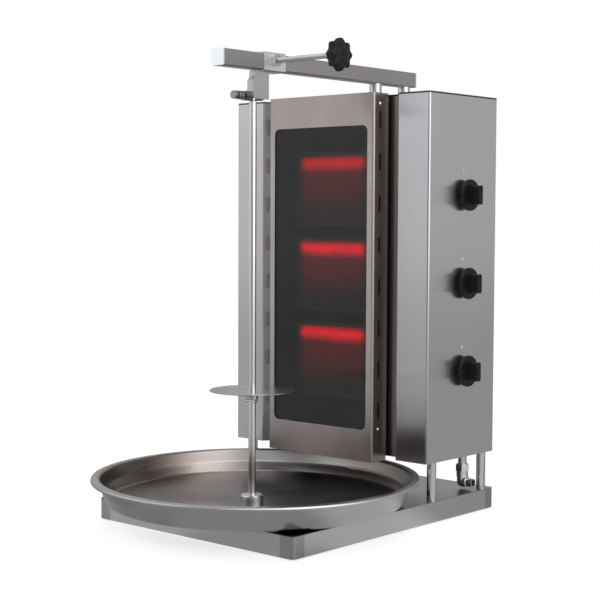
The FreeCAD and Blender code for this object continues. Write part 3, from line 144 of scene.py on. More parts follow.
# Grain: fine streaks, a second coarser set and soft clouds of handling marks
coarseScale, fineShare, coarseShare = 0.23, 0.6, 0.4
noiseMiddle = (0.3, 0.7)
grainGroup, gIn, gOut = newGroup(
    "brushedGrain", [("Vector", "NodeSocketVector"), ("Plain", "NodeSocketVector")],
    [("Streak", "NodeSocketFloat"), ("Cloud", "NodeSocketFloat"), ("Height", "NodeSocketFloat")])
fineStreak = noise(grainGroup, gIn.outputs["Vector"], 1.0, 4.0, 0.65)
wideStreak = noise(grainGroup, gIn.outputs["Vector"], coarseScale, 3.0, 0.55)
softCloud = noise(grainGroup, gIn.outputs["Plain"], 6.0, 4.0, 0.6, 0.4)
bothStreaks = math1(grainGroup, "ADD", product(grainGroup, fineStreak, fineShare),
                    product(grainGroup, wideStreak, coarseShare))
grainGroup.links.new(spread(grainGroup, bothStreaks, *noiseMiddle), gOut.inputs["Streak"])
grainGroup.links.new(spread(grainGroup, softCloud, *noiseMiddle, smooth=True), gOut.inputs["Cloud"])
grainGroup.links.new(bothStreaks, gOut.inputs["Height"])

# Turned: distance from an upright axis and height, so that grain runs round a turned piece
turnedGroup, tIn, tOut = newGroup("turnedPlace", [("Vector", "NodeSocketVector")],
                                  [("Place", "NodeSocketVector"), ("Radius", "NodeSocketFloat")])
flatX, flatY, turnedHeight = splitXYZ(turnedGroup, tIn.outputs["Vector"])
flatX, flatY = (product(turnedGroup, flat, flat) for flat in (flatX, flatY))
fromAxis = math1(turnedGroup, "SQRT", math1(turnedGroup, "ADD", flatX, flatY))
turnedPlace = addNode(turnedGroup, "ShaderNodeCombineXYZ")
turnedGroup.links.new(fromAxis, turnedPlace.inputs[0])
turnedGroup.links.new(turnedHeight, turnedPlace.inputs[2])
turnedGroup.links.new(turnedPlace.outputs[0], tOut.inputs["Place"])
turnedGroup.links.new(fromAxis, tOut.inputs["Radius"])


def bareMaterial(name):
    made = bpy.data.materials.new(name)
    made.use_nodes = True
    tree = made.node_tree
    tree.nodes.clear()
    return made, tree, addNode(tree, "ShaderNodeOutputMaterial")


def newMaterial(name):
    made, tree, output = bareMaterial(name)
    shader = addNode(tree, "ShaderNodeBsdfPrincipled")
    tree.links.new(shader.outputs[0], output.inputs[0])
    place = addNode(tree, "ShaderNodeTexCoord").outputs["Object"]
    return made, tree, shader, place


def addBump(tree, shader, height, strength, distance):
    bump = addNode(tree, "ShaderNodeBump", {"Strength": strength, "Distance": distance})
    tree.links.new(height, bump.inputs["Height"])
    tree.links.new(bump.outputs[0], shader.inputs["Normal"])


# Brushed metal smears its reflections across the grain, so the tangent is upright, level along the
# surface, or round the axis of a turned piece. Upright leans a little, since straight up
# has no direction on a level face
nearlyUpright = {0: 0.02, 1: 0.03, 2: 1.0}


def blurWay(tree, way, place):
    if way == "upright":
        return addNode(tree, "ShaderNodeCombineXYZ", nearlyUpright).outputs[0]
    cross = addNode(tree, "ShaderNodeVectorMath", {0: (0, 0, 1)}, operation="CROSS_PRODUCT")
    tree.links.new(surfaceNormal(tree) if way == "level" else place, cross.inputs[1])
    return cross.outputs[0]


# Metal: each look gives its colour, a tint for the clouds, a streak share, the grain's scale along X,
# Y and Z (on a turned piece along radius, nothing and height) and the range of roughness. Where it has
# them, it gives the shift that brings its axis to the middle, a sheen with the way that is smeared,
# and a stain
grainDepth = 0.0004
streakShare = 0.5


def metalLook(name, look):
    made, tree, shader, place = newMaterial(name)
    shader.inputs["Metallic"].default_value = look.get("metallic", 1.0)
    source = axisPlace = place
    if "axis" in look:
        axisPlace = mapped(tree, place, location=look["axis"])
        source = useGroup(tree, turnedGroup, {"Vector": axisPlace}).outputs["Place"]
    grain = useGroup(tree, grainGroup, {"Vector": mapped(tree, source, look["grain"]), "Plain": place})
    base = blendColours(tree, product(tree, grain.outputs["Cloud"], look["cloud"]),
                        look["colour"], look["tint"])
    darker = tuple(channel * (1 - look["streak"]) for channel in look["colour"])
    colour = blendColours(tree, product(tree, grain.outputs["Streak"], streakShare), base, darker)
    if "stain" in look:
        colour = look["stain"](tree, place, colour)
    tree.links.new(colour, shader.inputs["Base Color"])
    roughness = math1(tree, "ADD", spread(tree, grain.outputs["Streak"], 0, 1, *look["rough"]),
                      product(tree, grain.outputs["Cloud"], look["smudge"]))
    tree.links.new(roughness, shader.inputs["Roughness"])
    addBump(tree, shader, grain.outputs["Height"], look["bump"], grainDepth)
    if "sheen" in look:
        shader.inputs["Anisotropic"].default_value = look["sheen"]
        tree.links.new(blurWay(tree, look["blur"], axisPlace), shader.inputs["Tangent"])
    return made


# Radiant frame: painted shade, brown as with heat tint, on the side walls of the recess, full on the
# right wall and slight on the left; a darker colour behind the face; straw heat tint in clouds and straw
# colour towards the top; and painted shade that darkens the foot. Places are in metres
frameMarks = dict(
    sideWall=(0.1312, 0.1322), wallBehind=(0.1014, 0.1036), rightSide=(-0.01, 0.01), leftShadeShare=0.15,
    faceBack=(0.0983, 0.0992), cloudScale=(14, 14, 5), cloudRange=(0.35, 0.75), cloudShare=0.5,
    top=(0.64, 0.79), topShare=0.80, foot=(0.11, 0.26), footShare=0.55,
    behindColour=(0.10, 0.08, 0.07), brown=(0.30, 0.255, 0.225), paleBrown=(0.40, 0.345, 0.30),
    straw=(0.40, 0.345, 0.345), footShadeColour=(0.22, 0.195, 0.19))


def frameTintAndShade(tree, place, colour):
    x, y, z = splitXYZ(tree, place)
    marks = frameMarks
    cloud = noise(tree, mapped(tree, place, marks["cloudScale"]), 1.0, 4.0)
    sideWall = spread(tree, math1(tree, "ABSOLUTE", x), *marks["sideWall"], smooth=True)
    behind = product(tree, spread(tree, y, *marks["faceBack"], smooth=True), opposite(tree, sideWall))
    # Painted shade: the side walls behind the face turn brown, the right one fully and the left at a
    # small share
    recessShade = product(tree, sideWall, spread(tree, y, *marks["wallBehind"], smooth=True),
                   spread(tree, x, *marks["rightSide"], marks["leftShadeShare"], 1.0))
    colour = blendColours(tree, behind, colour, marks["behindColour"])
    shadedBrown = blendColours(tree, cloud, marks["brown"], marks["paleBrown"])
    top = spread(tree, z, *marks["top"], 0.0, marks["topShare"], smooth=True)
    clouded = spread(tree, cloud, *marks["cloudRange"], 0.0, marks["cloudShare"])
    straw = blendColours(tree, math1(tree, "ADD", clouded, top, True), colour, marks["straw"])
    # Painted shade: darker towards the foot
    foot = spread(tree, z, *marks["foot"], marks["footShare"], 0.0, smooth=True)
    straw = blendColours(tree, foot, straw, marks["footShadeColour"])
    return blendColours(tree, recessShade, straw, shadedBrown)


# Pan: a warm grease film inside, whose share is painted reflection: heavy on the left of the wall, thin
# on its middle and more again to the right, which dims the wall's highlights; on the floor it goes from
# pale grease at left to burnt grease with a painted darker reflection at right; and painted shade on the
# outside at left.
# Sideways is how far a place is to the right of the pan's axis as the camera looks, and facing out is
# the dot product of the surface normal and the place from that axis
panAxis = (0, 0.0808, 0)
panMarks = dict(
    toRight=(0.75, 0.66, 0), facingIn=(0.02, 0.10), facingOut=(0.10, 0.16), flange=(0.291, 0.295),
    underFlange=(0.087, 0.091), skirtShade=(-0.27, -0.08), skirtDark=(0.20, 0.20, 0.205),
    skirtPale=(0.47, 0.47, 0.485), filmScale=(7, 7, 7), filmShare=(0.75, 1.0), floorEdge=(0.243, 0.262),
    wallLeft=(-0.20, 0.10, 0.90, 0.20), wallRight=(0.08, 0.26, 0.0, 0.55), film=(0.255, 0.200, 0.172),
    darkReflectionFrom=(-0.20, 0.08), pale=(0.20, 0.165, 0.155), burntAndDarkReflection=(0.050, 0.034, 0.032), floorShare=0.95)


def panFilmAndShade(tree, place, colour):
    marks = panMarks
    centred = mapped(tree, place, (1, 1, 0), panAxis)
    radius = useGroup(tree, turnedGroup, {"Vector": centred}).outputs["Radius"]
    height = splitXYZ(tree, place)[2]
    facingOut = dotProduct(tree, surfaceNormal(tree), centred)
    sideways = dotProduct(tree, centred, marks["toRight"])
    wall = opposite(tree, spread(tree, facingOut, *marks["facingIn"]))
    inside = product(tree, wall, opposite(tree, spread(tree, radius, *marks["flange"])))
    outside = product(tree, spread(tree, facingOut, *marks["facingOut"]),
                      opposite(tree, spread(tree, height, *marks["underFlange"])))
    # Painted shade: the outside is darker at the left
    skirt = blendColours(tree, spread(tree, sideways, *marks["skirtShade"], smooth=True),
                         marks["skirtDark"], marks["skirtPale"])
    colour = blendColours(tree, outside, colour, skirt)
    film = noise(tree, mapped(tree, place, marks["filmScale"]), 1.0, 4.0, 0.55, 0.5)
    film = product(tree, spread(tree, film, *noiseMiddle, *marks["filmShare"], smooth=True), inside)
    # Painted reflection: the film's share on the wall is heavy at left and grows again at right
    wallFilmAndReflection = math1(tree, "ADD", spread(tree, sideways, *marks["wallLeft"], smooth=True),
                   spread(tree, sideways, *marks["wallRight"], smooth=True))
    colour = blendColours(tree, product(tree, film, wallFilmAndReflection), colour, marks["film"])
    # Painted reflection: the floor film runs from pale at left to near black at right
    burntAndDarkReflection = blendColours(tree, spread(tree, sideways, *marks["darkReflectionFrom"], smooth=True),
                         marks["pale"], marks["burntAndDarkReflection"])
    onFloor = spread(tree, radius, *marks["floorEdge"], 1.0, 0.0, smooth=True)
    return blendColours(tree, product(tree, film, onFloor, marks["floorShare"]), colour, burntAndDarkReflection)


# Base tray: welded corners ground across, so a darker band stands each side of an upright edge, and
# painted shade on the top, most in front under the pan
baseMarks = dict(
    middleY=0.0458, nearX=(0.2140, 0.2165), nearY=(0.2670, 0.2700), top=(0.0405, 0.0412),
    bandScale=(900, 900, 30), bandShare=0.85, ground=(0.30, 0.30, 0.305), paleGround=(0.38, 0.38, 0.385),
    underPan=(-0.15, -0.11, 0.9, 0.40), shade=(0.07, 0.065, 0.06))


def groundCornersAndTopShade(tree, place, colour):
    marks = baseMarks
    x, y, z = splitXYZ(tree, place)
    grain = noise(tree, mapped(tree, place, marks["bandScale"]), 1.0, 3.0)
    alongY = math1(tree, "ABSOLUTE", math1(tree, "SUBTRACT", y, marks["middleY"]))
    nearX = spread(tree, math1(tree, "ABSOLUTE", x), *marks["nearX"], smooth=True)
    nearY = spread(tree, alongY, *marks["nearY"], smooth=True)
    onTop = spread(tree, z, *marks["top"])
    band = product(tree, nearX, nearY, opposite(tree, onTop), marks["bandShare"])
    # Painted shade on the top, most in front under the pan
    shaded = product(tree, onTop, spread(tree, y, *marks["underPan"], smooth=True))
    colour = blendColours(tree, shaded, colour, marks["shade"])
    ground = blendColours(tree, grain, marks["ground"], marks["paleGround"])
    return blendColours(tree, band, colour, ground)


# Cabinet sheets: a painted line of shade, deep brown, along the joint where roof and sides meet, and
# painted shade at the foot of the front of the right wing
sheetMarks = dict(
    steep=(0.25, 0.6), edge=(0.8008, 0.8016), lineShare=0.93, line=(0.050, 0.036, 0.030),
    foot=(0.12, 0.30, 0.75, 0.0), front=(0.1235, 0.1255), rightWing=(0.10, 0.12),
    wingFootShade=(0.17, 0.155, 0.15))


def roofLineAndFootShade(tree, place, colour):
    marks = sheetMarks
    x, y, z = splitXYZ(tree, place)
    upFacing = splitXYZ(tree, surfaceNormal(tree))[2]
    # Painted shade: a deep brown line along the roof edge on steep faces
    line = product(tree, opposite(tree, spread(tree, upFacing, *marks["steep"])),
                   spread(tree, z, *marks["edge"], smooth=True), marks["lineShare"])
    # Painted shade: the right wing's front darker towards its foot
    shadedWingFoot = product(tree, spread(tree, z, *marks["foot"], smooth=True),
                     opposite(tree, spread(tree, y, *marks["front"])),
                     spread(tree, x, *marks["rightWing"]))
    colour = blendColours(tree, shadedWingFoot, colour, marks["wingFootShade"])
    return blendColours(tree, line, colour, marks["line"])


spitAxis = (0, 0.0917, 0)
steel, handledSteel = (0.60, 0.60, 0.625), (0.565, 0.565, 0.59)
looks = {
    "sheetUpright": dict(colour=steel, tint=handledSteel, cloud=0.5, streak=0.05, grain=(900, 900, 3),
                         rough=(0.17, 0.22), smudge=0.03, bump=0.010, sheen=0.8, blur="level",
                         stain=roofLineAndFootShade),
    "roofSheet": dict(colour=steel, tint=handledSteel, cloud=0.5, streak=0.06, grain=(4, 900, 900),
                      rough=(0.20, 0.28), smudge=0.04, bump=0.012, stain=roofLineAndFootShade),
    "baseSheet": dict(colour=(0.55, 0.55, 0.56), tint=(0.50, 0.50, 0.51), cloud=0.6, streak=0.07,
                      grain=(5, 5, 900), rough=(0.24, 0.32), smudge=0.05, bump=0.012, sheen=0.6,
                      blur="upright", stain=groundCornersAndTopShade),
    "sheetAcross": dict(colour=(0.56, 0.56, 0.565), tint=(0.49, 0.49, 0.50), cloud=0.6, streak=0.08,
                        grain=(7, 7, 800), rough=(0.24, 0.34), smudge=0.05, bump=0.02),
    "frameSteel": dict(colour=(0.515, 0.485, 0.485), tint=(0.47, 0.435, 0.43), cloud=0.6, streak=0.012,
                       grain=(5, 5, 900), rough=(0.25, 0.25), smudge=0.03, bump=0.0, stain=frameTintAndShade),
    "panSteel": dict(colour=(0.55, 0.55, 0.56), tint=(0.49, 0.485, 0.48), cloud=0.6, streak=0.06,
                     grain=(700, 700, 700), rough=(0.17, 0.23), smudge=0.05, bump=0.004,
                     axis=panAxis, stain=panFilmAndShade, sheen=0.75, blur="round"),
    "discSteel": dict(colour=(0.52, 0.51, 0.50), tint=(0.42, 0.405, 0.395), cloud=0.6, streak=0.08,
                      grain=(700, 700, 700), rough=(0.16, 0.22), smudge=0.06, bump=0.008,
                      axis=spitAxis, sheen=0.6, blur="round"),
    "spitSteel": dict(colour=(0.80, 0.795, 0.785), tint=(0.68, 0.665, 0.65), cloud=0.5, streak=0.06,
                      grain=(60, 60, 900), rough=(0.16, 0.22), smudge=0.05, bump=0.008, axis=spitAxis),
    "polished": dict(colour=(0.62, 0.615, 0.61), tint=(0.50, 0.49, 0.48), cloud=0.5, streak=0.06,
                     grain=(90, 90, 700), rough=(0.12, 0.18), smudge=0.05, bump=0.008),
    "plateSteel": dict(colour=(0.56, 0.56, 0.57), tint=(0.50, 0.50, 0.51), cloud=0.6, streak=0.06,
                       grain=(160, 160, 500), rough=(0.26, 0.36), smudge=0.05, bump=0.015),
    "sleeveSteel": dict(colour=(0.80, 0.80, 0.81), tint=(0.72, 0.72, 0.73), cloud=0.6, streak=0.05,
                        grain=(160, 500, 160), rough=(0.24, 0.32), smudge=0.05, bump=0.01),
    "lockSteel": dict(colour=(0.40, 0.385, 0.36), tint=(0.26, 0.245, 0.23), cloud=0.8, streak=0.12,
                      grain=(200, 60, 200), rough=(0.20, 0.32), smudge=0.08, bump=0.03),
    "beamSteel": dict(colour=(0.40, 0.385, 0.375), tint=(0.34, 0.325, 0.315), cloud=0.6, streak=0.06,
                      grain=(700, 5, 700), rough=(0.28, 0.36), smudge=0.05, bump=0.012),
    "capSteel": dict(colour=(0.86, 0.88, 0.93), tint=(0.78, 0.80, 0.86), cloud=0.5, streak=0.05,
                     grain=(300, 300, 300), rough=(0.30, 0.40), smudge=0.05, bump=0.02, metallic=0.55),
    "darkSteel": dict(colour=(0.16, 0.15, 0.145), tint=(0.10, 0.085, 0.08), cloud=0.7, streak=0.2,
                      grain=(120, 120, 120), rough=(0.35, 0.55), smudge=0.1, bump=0.08),
    "sootSteel": dict(colour=(0.030, 0.027, 0.025), tint=(0.018, 0.015, 0.014), cloud=0.7, streak=0.2,
                      grain=(120, 120, 120), rough=(0.5, 0.7), smudge=0.1, bump=0.05),
    "zincFitting": dict(colour=(0.80, 0.84, 0.835), tint=(0.55, 0.61, 0.605), cloud=0.9, streak=0.14,
                        grain=(160, 160, 160), rough=(0.12, 0.24), smudge=0.10, bump=0.06),
    "brass": dict(colour=(0.66, 0.46, 0.20), tint=(0.50, 0.34, 0.15), cloud=0.6, streak=0.10,
                  grain=(200, 200, 200), rough=(0.2, 0.35), smudge=0.08, bump=0.04),
    "bronze": dict(colour=(0.24, 0.19, 0.13), tint=(0.15, 0.12, 0.09), cloud=0.7, streak=0.10,
                   grain=(200, 200, 200), rough=(0.3, 0.45), smudge=0.08, bump=0.05),
}
made = {name: metalLook(name, look) for name, look in looks.items()}


# Plastic, rubber and print: fine spark-eroded grain, a little dust in the clouds
dustScale, dustRange, dustShare, pebbleDepth = 35, (0.35, 0.75), 0.7, 0.0003


def plasticLook(name, colour, dusty, rough, grainSize, bumpStrength, gloss=0.5):
    made, tree, shader, place = newMaterial(name)
    shader.inputs["Specular IOR Level"].default_value = gloss
    pebble = noise(tree, mapped(tree, place, (grainSize,) * 3), 1.0, 2.0)
    dust = noise(tree, mapped(tree, place, (dustScale,) * 3), 1.0, 4.0, 0.6)
    tree.links.new(blendColours(tree, spread(tree, dust, *dustRange, 0, dustShare), colour, dusty),
                   shader.inputs["Base Color"])
    tree.links.new(spread(tree, dust, *noiseMiddle, *rough), shader.inputs["Roughness"])
    addBump(tree, shader, pebble, bumpStrength, pebbleDepth)
    return made


softLooks = {
    "blackPlastic": dict(colour=(0.009, 0.009, 0.010), dusty=(0.015, 0.015, 0.016), rough=(0.22, 0.34),
                         grainSize=1500, bumpStrength=0.12, gloss=0.13),
    "rubber": dict(colour=(0.02, 0.02, 0.02), dusty=(0.045, 0.044, 0.042), rough=(0.6, 0.8),
                   grainSize=900, bumpStrength=0.4),
    "whitePrint": dict(colour=(0.56, 0.56, 0.55), dusty=(0.44, 0.44, 0.43), rough=(0.4, 0.6),
                       grainSize=1200, bumpStrength=0.1),
}
for name, look in softLooks.items():
    made[name] = plasticLook(name, **look)

# Plaques: pierced ceramic tiles, which glow in a bar near the top of each burner and dimly below. Levels
# are heights from the middle of a burner
plaque = dict(
    holeScale=(400, 1, 400), holeSpread=0.12, holeEdge=(0.18, 0.3), middle=0.2931, pitch=0.167,
    warpScale=(22, 22, 22), warpReach=0.006, ends=(0.066, 0.090), barLow=(0.030, 0.054),
    barHigh=(0.049, 0.070), dimLow=(-0.070, 0.050), dimHigh=(0.050, 0.070), dimShare=0.10,
    patchy=(0.8, 1.15), topBurner=(0.55, 0.57), topShare=0.60, glow=(1.0, 0.0, 0.010), strength=2.3,
    hole=(0.015, 0.013, 0.012), ceramic=(0.075, 0.068, 0.062), rough=(0.75, 0.95),
    bump=0.5, depth=0.001)


def plaqueLook():
    made, tree, shader, place = newMaterial("plaqueCeramic")
    x, y, z = splitXYZ(tree, place)
    holes = addNode(tree, "ShaderNodeTexVoronoi", {"Scale": 1.0, "Randomness": plaque["holeSpread"]})
    tree.links.new(mapped(tree, place, plaque["holeScale"]), holes.inputs["Vector"])
    pierced = spread(tree, holes.outputs["Distance"], *plaque["holeEdge"], smooth=True)
    halfPitch = plaque["pitch"] / 2
    above = math1(tree, "SUBTRACT", z, plaque["middle"] - halfPitch)
    cell = math1(tree, "SUBTRACT", math1(tree, "MODULO", above, plaque["pitch"]), halfPitch)
    warp = noise(tree, mapped(tree, place, plaque["warpScale"]), 1.0, 3.0)
    shift = product(tree, math1(tree, "SUBTRACT", warp, 0.5), plaque["warpReach"])
    level = math1(tree, "ADD", cell, shift)
    ends = spread(tree, math1(tree, "ABSOLUTE", x), *plaque["ends"], 1.0, 0.0, smooth=True)
    weaker = spread(tree, z, *plaque["topBurner"], 1.0, plaque["topShare"])
    bar = product(tree, spread(tree, level, *plaque["barLow"], smooth=True),
                  spread(tree, level, *plaque["barHigh"], 1.0, 0.0, smooth=True),
                  spread(tree, warp, *noiseMiddle, *plaque["patchy"]), weaker)
    dim = product(tree, spread(tree, level, *plaque["dimLow"], smooth=True),
                  spread(tree, level, *plaque["dimHigh"], 1.0, 0.0), plaque["dimShare"])
    heat = product(tree, math1(tree, "ADD", bar, dim), ends)
    glow = blendColours(tree, heat, (0.0, 0.0, 0.0), plaque["glow"])
    tree.links.new(glow, shader.inputs["Emission Color"])
    shader.inputs["Emission Strength"].default_value = plaque["strength"]
    tree.links.new(blendColours(tree, pierced, plaque["hole"], plaque["ceramic"]),
                   shader.inputs["Base Color"])
    tree.links.new(spread(tree, warp, 0, 1, *plaque["rough"]), shader.inputs["Roughness"])
    addBump(tree, shader, pierced, plaque["bump"], plaque["depth"])
    return made


# Dark heat-proof glass: tinted through, with faint wipe marks in its gloss
glass = dict(index=1.4, wipeScale=(18, 18, 3), tint=(0.27, 0.27, 0.285), wiped=(0.30, 0.295, 0.30),
             wipeRange=(0.45, 0.75), rough=(0.0, 0.10))


def glassLook():
    made, tree, shader, place = newMaterial("darkGlass")
    shader.inputs["Transmission Weight"].default_value = 1.0
    shader.inputs["IOR"].default_value = glass["index"]
    wipes = noise(tree, mapped(tree, place, glass["wipeScale"]), 1.0, 5.0, 0.65, 0.8)
    tree.links.new(blendColours(tree, wipes, glass["tint"], glass["wiped"]), shader.inputs["Base Color"])
    tree.links.new(spread(tree, wipes, *glass["wipeRange"], *glass["rough"]), shader.inputs["Roughness"])
    return made


made["plaqueCeramic"] = plaqueLook()
made["darkGlass"] = glassLook()

dressing = {
    "sheetUpright": ["right_cover", "left_cover", "back_panel"],
    "roofSheet": ["top_cover"],
    "baseSheet": ["base_tray"],
    "sheetAcross": ["cabinet_floor", "roof_channel", "glass_clips"],
    "frameSteel": ["radiant_frame"],
    "panSteel": ["drip_pan"],
    "discSteel": ["spit_disc"],
    "spitSteel": ["spit", "spit_hub", "stop_pin", "guide_plate"],
    "polished": ["support_posts", "front_strut", "rear_mast", "clamp_nut", "clamp_spindle", "gas_tubes",
                 "thermocouples", "manifold_pipe", "cover_screws", "post_bolts", "clip_studs"],
    "plateSteel": ["mast_clamps", "spit_holder"],
    "sleeveSteel": ["clamp_sleeve"],
    "lockSteel": ["lock_nut", "lock_screw"],
    "bronze": ["bearing_block"],
    "beamSteel": ["beam_tube"],
    "capSteel": ["beam_caps"],
    "sootSteel": ["burner_box"],
    "darkSteel": [],
    "zincFitting": ["inlet_union", "inlet_elbow"],
    "brass": ["injectors", "clamp_tip", "lock_tip"],
    "blackPlastic": ["knob_1", "knob_2", "knob_3", "star_knob"],
    "rubber": ["base_feet"],
    "plaqueCeramic": ["ceramic_plaques"],
    "darkGlass": ["glass_pane"],
}
for number in (1, 2, 3):
    dressing["darkSteel"].append(f"burner_housing_{number}")
    dressing["brass"] += [f"gas_valve_{number}", f"valve_plug_{number}"]
    dressing["polished"].append(f"valve_stem_{number}")
nodeLook = {node: look for look, nodes in dressing.items() for node in nodes}
for name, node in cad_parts.items():
    node.data.materials.clear()
    node.data.materials.append(made[nodeLook[name]])
print("materials given to", len(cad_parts), "CAD nodes")


# New pieces: numpy grids turned into closed meshes

def addObject(name, data):
    item = bpy.data.objects.new(name, data)
    scene.collection.objects.link(item)
    return item


def ringAngles(count):
    return np.linspace(0, 2 * np.pi, count + 1)[:-1]


def gridPiece(name, x, y, z, look, body, smooth=True):
    along, around = x.shape
    points = np.stack([x, y, z], -1).reshape(-1, 3)
    rowStart = np.arange(along - 1)[:, None] * around
    columns = np.arange(around)
    nextColumn = (columns + 1) % around
    faces = np.stack([rowStart + columns, rowStart + nextColumn, rowStart + around + nextColumn,
                      rowStart + around + columns], -1).reshape(-1, 4).tolist()
    faces.append(list(range(around))[::-1])
    faces.append(list(range((along - 1) * around, along * around)))
    mesh = bpy.data.meshes.new(name)
    mesh.from_pydata(points.tolist(), [], faces)
    mesh.validate()
    mesh.update()
    mesh.polygons.foreach_set("use_smooth", [smooth] * len(mesh.polygons))
    mesh.materials.append(made[look])
    piece = addObject(name, mesh)
    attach(piece, body)


# Star grip: radius falls between eight lobes by half a cosine wave, most at mid thickness, and the
# profile runs along X from the boss, round the rim, over the domed face to the middle. Each row of it
# is the place along X, the radius and the share of the valley
starGrip = dict(lobes=8, valley=0.0052, lobeShape=0.85, around=144, thickness=0.032, profile=(
    (0.0, 0.0004, 0.0), (0.0, 0.0119, 0.0), (0.0006, 0.0125, 0.0), (0.0095, 0.0125, 0.0),
    (0.0112, 0.0215, 0.55), (0.0124, 0.0275, 0.86), (0.0140, 0.0290, 0.97), (0.0165, 0.0296, 1.0),
    (0.0235, 0.0296, 1.0), (0.0262, 0.0290, 0.97), (0.0282, 0.0268, 0.86), (0.0293, 0.0205, 0.62),
    (0.0298, 0.0150, 0.45), (0.0310, 0.0128, 0.42), (0.0316, 0.0098, 0.32), (0.0318, 0.0004, 0.0)))
gripLow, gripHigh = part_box("star_knob")
gripY, gripZ = (gripLow[1] + gripHigh[1]) / 2, (gripLow[2] + gripHigh[2]) / 2
thick = gripHigh[0] - gripLow[0]
along, reach, valleyShare = np.array(starGrip["profile"]).T[:, :, None]
along = along / starGrip["thickness"] * thick
angle = ringAngles(starGrip["around"])
lobe = (0.5 - 0.5 * np.cos(starGrip["lobes"] * angle)) ** starGrip["lobeShape"]
gripRadius = reach - valleyShare * starGrip["valley"] * lobe
gridPiece("starGrip", gripLow[0] + along + 0 * gripRadius, gripY + gripRadius * np.cos(angle),
          gripZ + gripRadius * np.sin(angle), "blackPlastic", "clamp_screw")
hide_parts("star_knob")

# Clamp spindle: a screw thread, where the radius follows a rounded triangle wave of height less turn,
# fades into the plain shank before the grip and closes in a chamfer at the tip
spindle = dict(pitch=0.0015, depth=0.00055, crest=1.25, slope=2.5, rounding=1.1, perPitch=7, around=36,
               plainFrom=0.118, fade=0.006, plainStep=0.001, plainRings=6, edge=0.0006, inset=0.00002)
rodLow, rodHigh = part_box("clamp_spindle")
rodY, rodZ = (rodLow[1] + rodHigh[1]) / 2, (rodLow[2] + rodHigh[2]) / 2
rodRadius = (rodHigh[1] - rodLow[1]) / 2 - spindle["inset"]
threadEnd = spindle["plainFrom"] + spindle["fade"]
threaded = np.arange(0, threadEnd, spindle["pitch"] / spindle["perPitch"])
shank = np.linspace(threaded[-1] + spindle["plainStep"], rodHigh[0] - rodLow[0], spindle["plainRings"])
travel = np.concatenate([threaded, shank])[:, None]
turned = ringAngles(spindle["around"])
phase = np.mod(travel / spindle["pitch"] - turned / (2 * np.pi), 1.0)
wave = spindle["crest"] - spindle["slope"] * np.abs(phase - 0.5)
groove = np.clip(wave, 0, 1) ** spindle["rounding"]
keep = np.clip((threadEnd - travel) / spindle["fade"], 0, 1)
chamfer = np.clip(1 - travel / spindle["edge"], 0, 1) * spindle["edge"]
rodRing = rodRadius - spindle["depth"] * groove * keep - chamfer
gridPiece("spindleThread", rodLow[0] + travel + 0 * rodRing, rodY + rodRing * np.cos(turned),
          rodZ + rodRing * np.sin(turned), "polished", "clamp_screw")
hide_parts("clamp_spindle")

# Printed dots above the control knobs: flat discs whose profile gives shares of the radius and of the
# height above the panel
panelDot = dict(radius=0.0031, proud=0.0002, above=0.046, ahead=0.005, around=32,
                profile=((0.02, -1.0), (1.0, -1.0), (1.0, 0.5), (0.9, 1.0), (0.02, 1.0)))
radiusShare, heightShare = np.array(panelDot["profile"]).T[:, :, None]
turnsRound = ringAngles(panelDot["around"])
dotRadius = radiusShare * panelDot["radius"] * np.ones_like(turnsRound)
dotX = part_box("right_cover")[1][0] + heightShare * panelDot["proud"] + 0 * dotRadius
for number in (1, 2, 3):
    knobLow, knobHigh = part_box(f"knob_{number}")
    dotY = (knobLow[1] + knobHigh[1]) / 2 - panelDot["ahead"]
    dotZ = (knobLow[2] + knobHigh[2]) / 2 + panelDot["above"]
    gridPiece(f"panelDot{number}", dotX, dotY + dotRadius * np.cos(turnsRound),
              dotZ + dotRadius * np.sin(turnsRound), "whitePrint", "cabinet",
              smooth=False)
print("grip and marks made")


# Stage: a pale floor with some glow of its own, white surroundings, soft lamps

paleFloor = dict(reach=40.0, shade=0.9, glow=1.36, plainShare=0.45)


def floorLook():
    made, tree, output = bareMaterial("paleFloor")
    plain = addNode(tree, "ShaderNodeBsdfDiffuse", {"Color": (paleFloor["shade"],) * 3 + (1,)})
    lit = addNode(tree, "ShaderNodeEmission", {"Color": (1, 1, 1, 1), "Strength": paleFloor["glow"]})
    mix = addNode(tree, "ShaderNodeMixShader", {0: paleFloor["plainShare"]})
    tree.links.new(lit.outputs[0], mix.inputs[1])
    tree.links.new(plain.outputs[0], mix.inputs[2])
    tree.links.new(mix.outputs[0], output.inputs[0])
    return made


floorMesh = bpy.data.meshes.new("paleFloor")
corners = np.array([(-1, -1, 0), (1, -1, 0), (1, 1, 0), (-1, 1, 0)]) * paleFloor["reach"]
floorMesh.from_pydata(corners.tolist(), [], [(0, 1, 2, 3)])
floorMesh.materials.append(floorLook())
floorPiece = addObject("paleFloor", floorMesh)

# Studio wall: a round grey sweep that only the metal mirrors. Its shade goes by bearing, in degrees
# from +X, and by height; each screen is a paler stretch of it. The profile is in radius and height
sweep = dict(plain=0.30, foot=0.6, footRise=(0.0, 0.5), roof=0.75, roofRise=(1.8, 4.0), around=96,
             profile=((0.02, 0.001), (3.3, 0.002), (4.15, 0.35), (4.5, 1.2), (4.5, 3.6), (2.9, 5.0),
                      (0.05, 5.4)))
screens = {
    "besideCamera": dict(bearing=1, inner=14, outer=38, gain=1.5, foot=0.30, low=0.0, high=0.6),
    "frontLeft": dict(bearing=-136, inner=22, outer=48, gain=0.46, foot=0.76, low=0.0, high=0.5),
    "backRight": dict(bearing=52, inner=14, outer=44, gain=0.22, foot=1.0, low=0.0, high=0.5),
    "behind": dict(bearing=140, inner=20, outer=60, gain=0.20, foot=0.0, low=0.0, high=0.5),
    "overhead": dict(bearing=-30, inner=28, outer=48, gain=0.95, foot=0.0, low=0.95, high=1.7),
    "tableGlow": dict(bearing=-64, inner=18, outer=50, gain=0.20, foot=0.0, low=0.30, high=0.0),
    "upperLeft": dict(bearing=-133, inner=24, outer=50, gain=0.22, foot=0.0, low=0.8, high=1.5),
}


